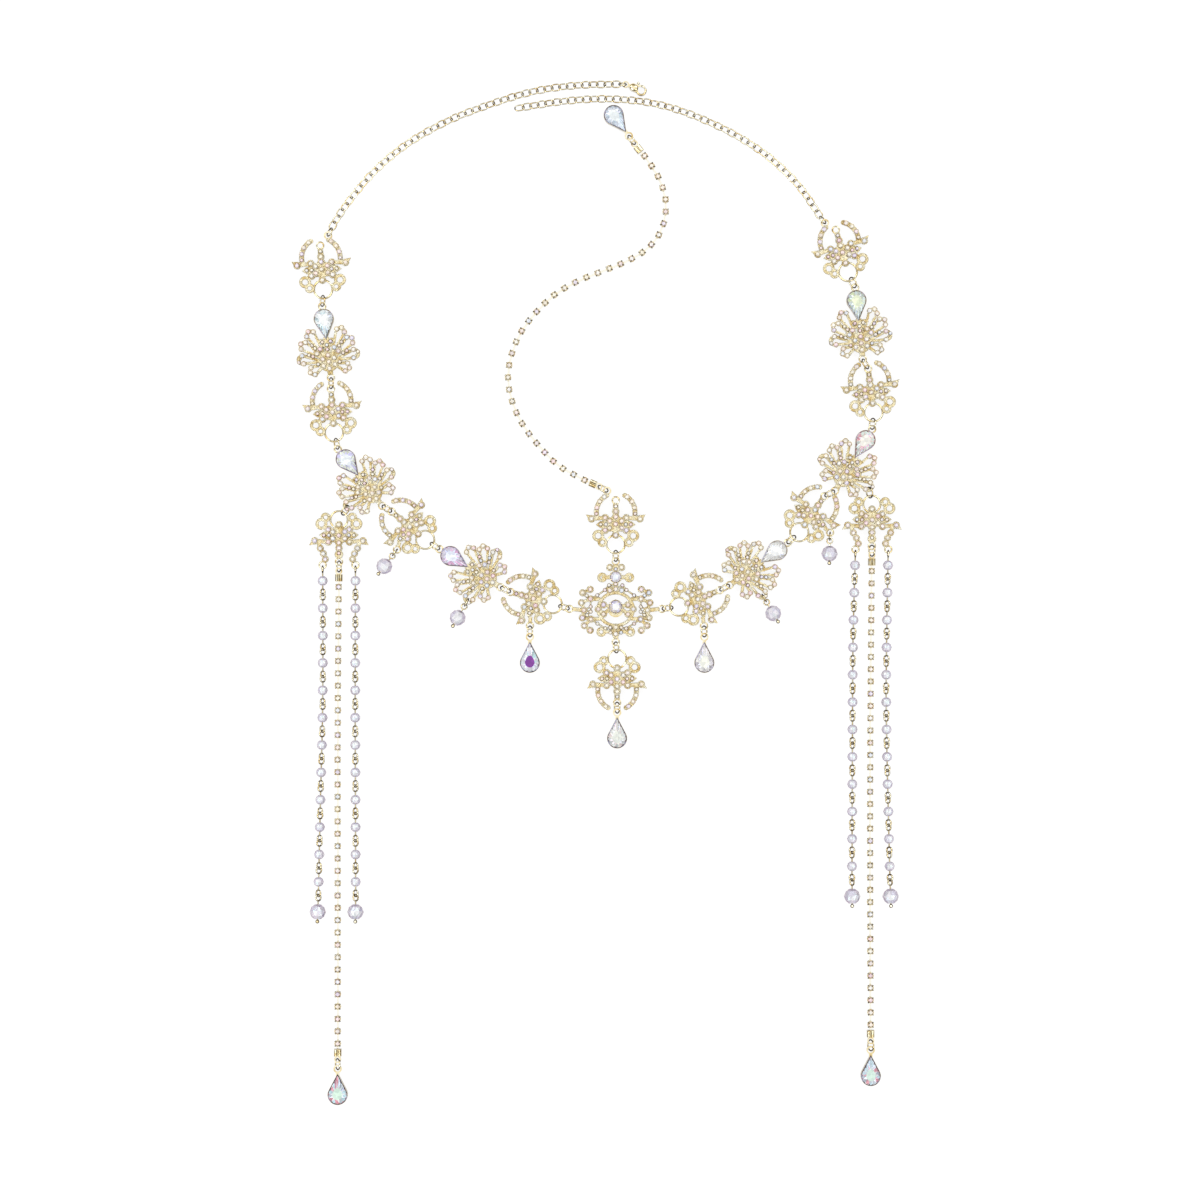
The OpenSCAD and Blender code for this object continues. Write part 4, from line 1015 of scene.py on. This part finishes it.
def clasp_relief():
    """Rounded shoulders and hook on the clasp, and a rounded finger and nub on its lever."""
    place = placed_at(CLASP)
    shell, lever = Heap(), Heap()
    dome(shell, place, CLASP_SHOULDERS, CLASP_TOP, SHOULDERS_HALF)
    arc = [math.radians(a) for a in HOOK_TURNS]
    x, y = CLASP_HOOK
    hook_z = HOOK_TOP - HOOK_WIRE_SUNK
    hook = [Vector((x + HOOK_R * math.cos(a), y + HOOK_R * math.sin(a), hook_z)) * MM for a in arc]
    wire(shell, [place @ p for p in hook], False, HOOK_WIRE_R * MM, 10)
    finger = [Vector((x, y, LEVER_TOP - FINGER_WIRE_SUNK)) * MM for x, y in LEVER_FINGER]
    wire(lever, [place @ p for p in finger], False, FINGER_WIRE_R * MM, 10)
    dome(lever, place, LEVER_NUB, LEVER_TOP, NUB_HALF)
    shell.piece("clasp_body_relief", POLISHED, GOLD, smooth=True)
    lever.piece("clasp_lever_relief", POLISHED, GOLD, smooth=True, body="lever")


def build_ornament():
    dice = random.Random(SEED)
    rings = Heap()
    for node in PLAQUES:
        plaque(node, rings, dice)
    rings.piece("plaque_loops", WIRE, GOLD, smooth=True)
    for node in [n for n in LARGE_STONE_REFLECTIONS if n not in ROUND_GROWTH]:
        pear(node, dice)
    for node in [s + "_beads" for s in STRINGS] + ["bead_drop_beads"]:
        beads(node, dice)
    for node in CUP_CHAINS:
        cup_chain(node, dice)
    folds()
    clasp_relief()
    for node in [s + "_pins" for s in STRINGS] + PLAIN_METAL:
        dress(node, WIRE)
    for node in [d + "_drop_setting" for d in DROPS] + ["clasp_body", "clasp_lever"]:
        dress(node, POLISHED)


# Studio

def floor():
    """Pale floor that glows weakly, like a light table, so that the ornament casts hardly any shadow."""
    mesh = bpy.data.meshes.new("floor")
    half = FLOOR_SIDE / 2
    corners = [(-half, -half, 0), (half, -half, 0), (half, half, 0), (-half, half, 0)]
    mesh.from_pydata(corners, [], [[0, 1, 2, 3]])
    obj = bpy.data.objects.new("floor", mesh)
    obj.location.z = FLOOR_Z
    bpy.context.scene.collection.objects.link(obj)
    made, tree, shader = material("pale_floor")
    cloud = textured(tree, "ShaderNodeTexNoise", Scale=3.0, Detail=2.0)
    tone = ramp(tree, cloud.outputs["Fac"], [(0.3, (0.14,) * 3), (0.7, (0.16,) * 3)])
    tree.links.new(tone, shader.inputs["Base Color"])
    shader.inputs["Roughness"].default_value = 0.9
    shader.inputs["Specular IOR Level"].default_value = 0.0
    shader.inputs["Emission Color"].default_value = (1, 1, 1, 1)
    shader.inputs["Emission Strength"].default_value = 0.9
    mesh.materials.append(made)


def sky():
    """Soft tent: bright overhead, darker towards the horizon, which draws a line along the sides of wire."""
    world = bpy.data.worlds.new("tent")
    bpy.context.scene.world = world
    world.use_nodes = True
    tree = world.node_tree
    place = tree.nodes.new("ShaderNodeTexCoord")
    light = ramp(tree, height_of(tree, place.outputs["Generated"]), [
        (0.0, (0.20, 0.20, 0.22)), (0.3, (0.12, 0.11, 0.12)), (0.6, (0.30, 0.29, 0.30)),
        (0.85, (0.90, 0.89, 0.88)), (1.0, (1.0, 0.99, 0.97)),
    ])
    tree.links.new(light, tree.nodes["Background"].inputs["Color"])
    tree.nodes["Background"].inputs["Strength"].default_value = 1.0


def soft_light(name, turn, power):
    """Square of light that looks at the ornament from a turn round it in degrees."""
    data = bpy.data.lights.new(name, "AREA")
    data.size = LIGHT_SIDE
    data.energy = power
    obj = bpy.data.objects.new(name, data)
    a = math.radians(turn)
    obj.location = (LIGHT_REACH * math.cos(a), LIGHT_REACH * math.sin(a), LIGHT_HEIGHT)
    obj.rotation_euler = (-obj.location).to_track_quat("-Z", "Y").to_euler()
    bpy.context.scene.collection.objects.link(obj)


def camera():
    """Straight above, at the height that fits the picture's width just over the surface."""
    data = bpy.data.cameras.new("camera")
    data.sensor_width = SENSOR
    data.lens = LENS
    obj = bpy.data.objects.new("camera", data)
    obj.location = (CAMERA_X, CAMERA_Y, PICTURE_WIDE * LENS / SENSOR + 2 * MM)
    bpy.context.scene.collection.objects.link(obj)
    bpy.context.scene.camera = obj


def studio():
    floor()
    sky()
    for name, (turn, power) in LIGHTS.items():
        soft_light(name, turn, power)
    camera()
    bpy.context.scene.view_settings.view_transform = "Standard"


build_ornament()
studio()
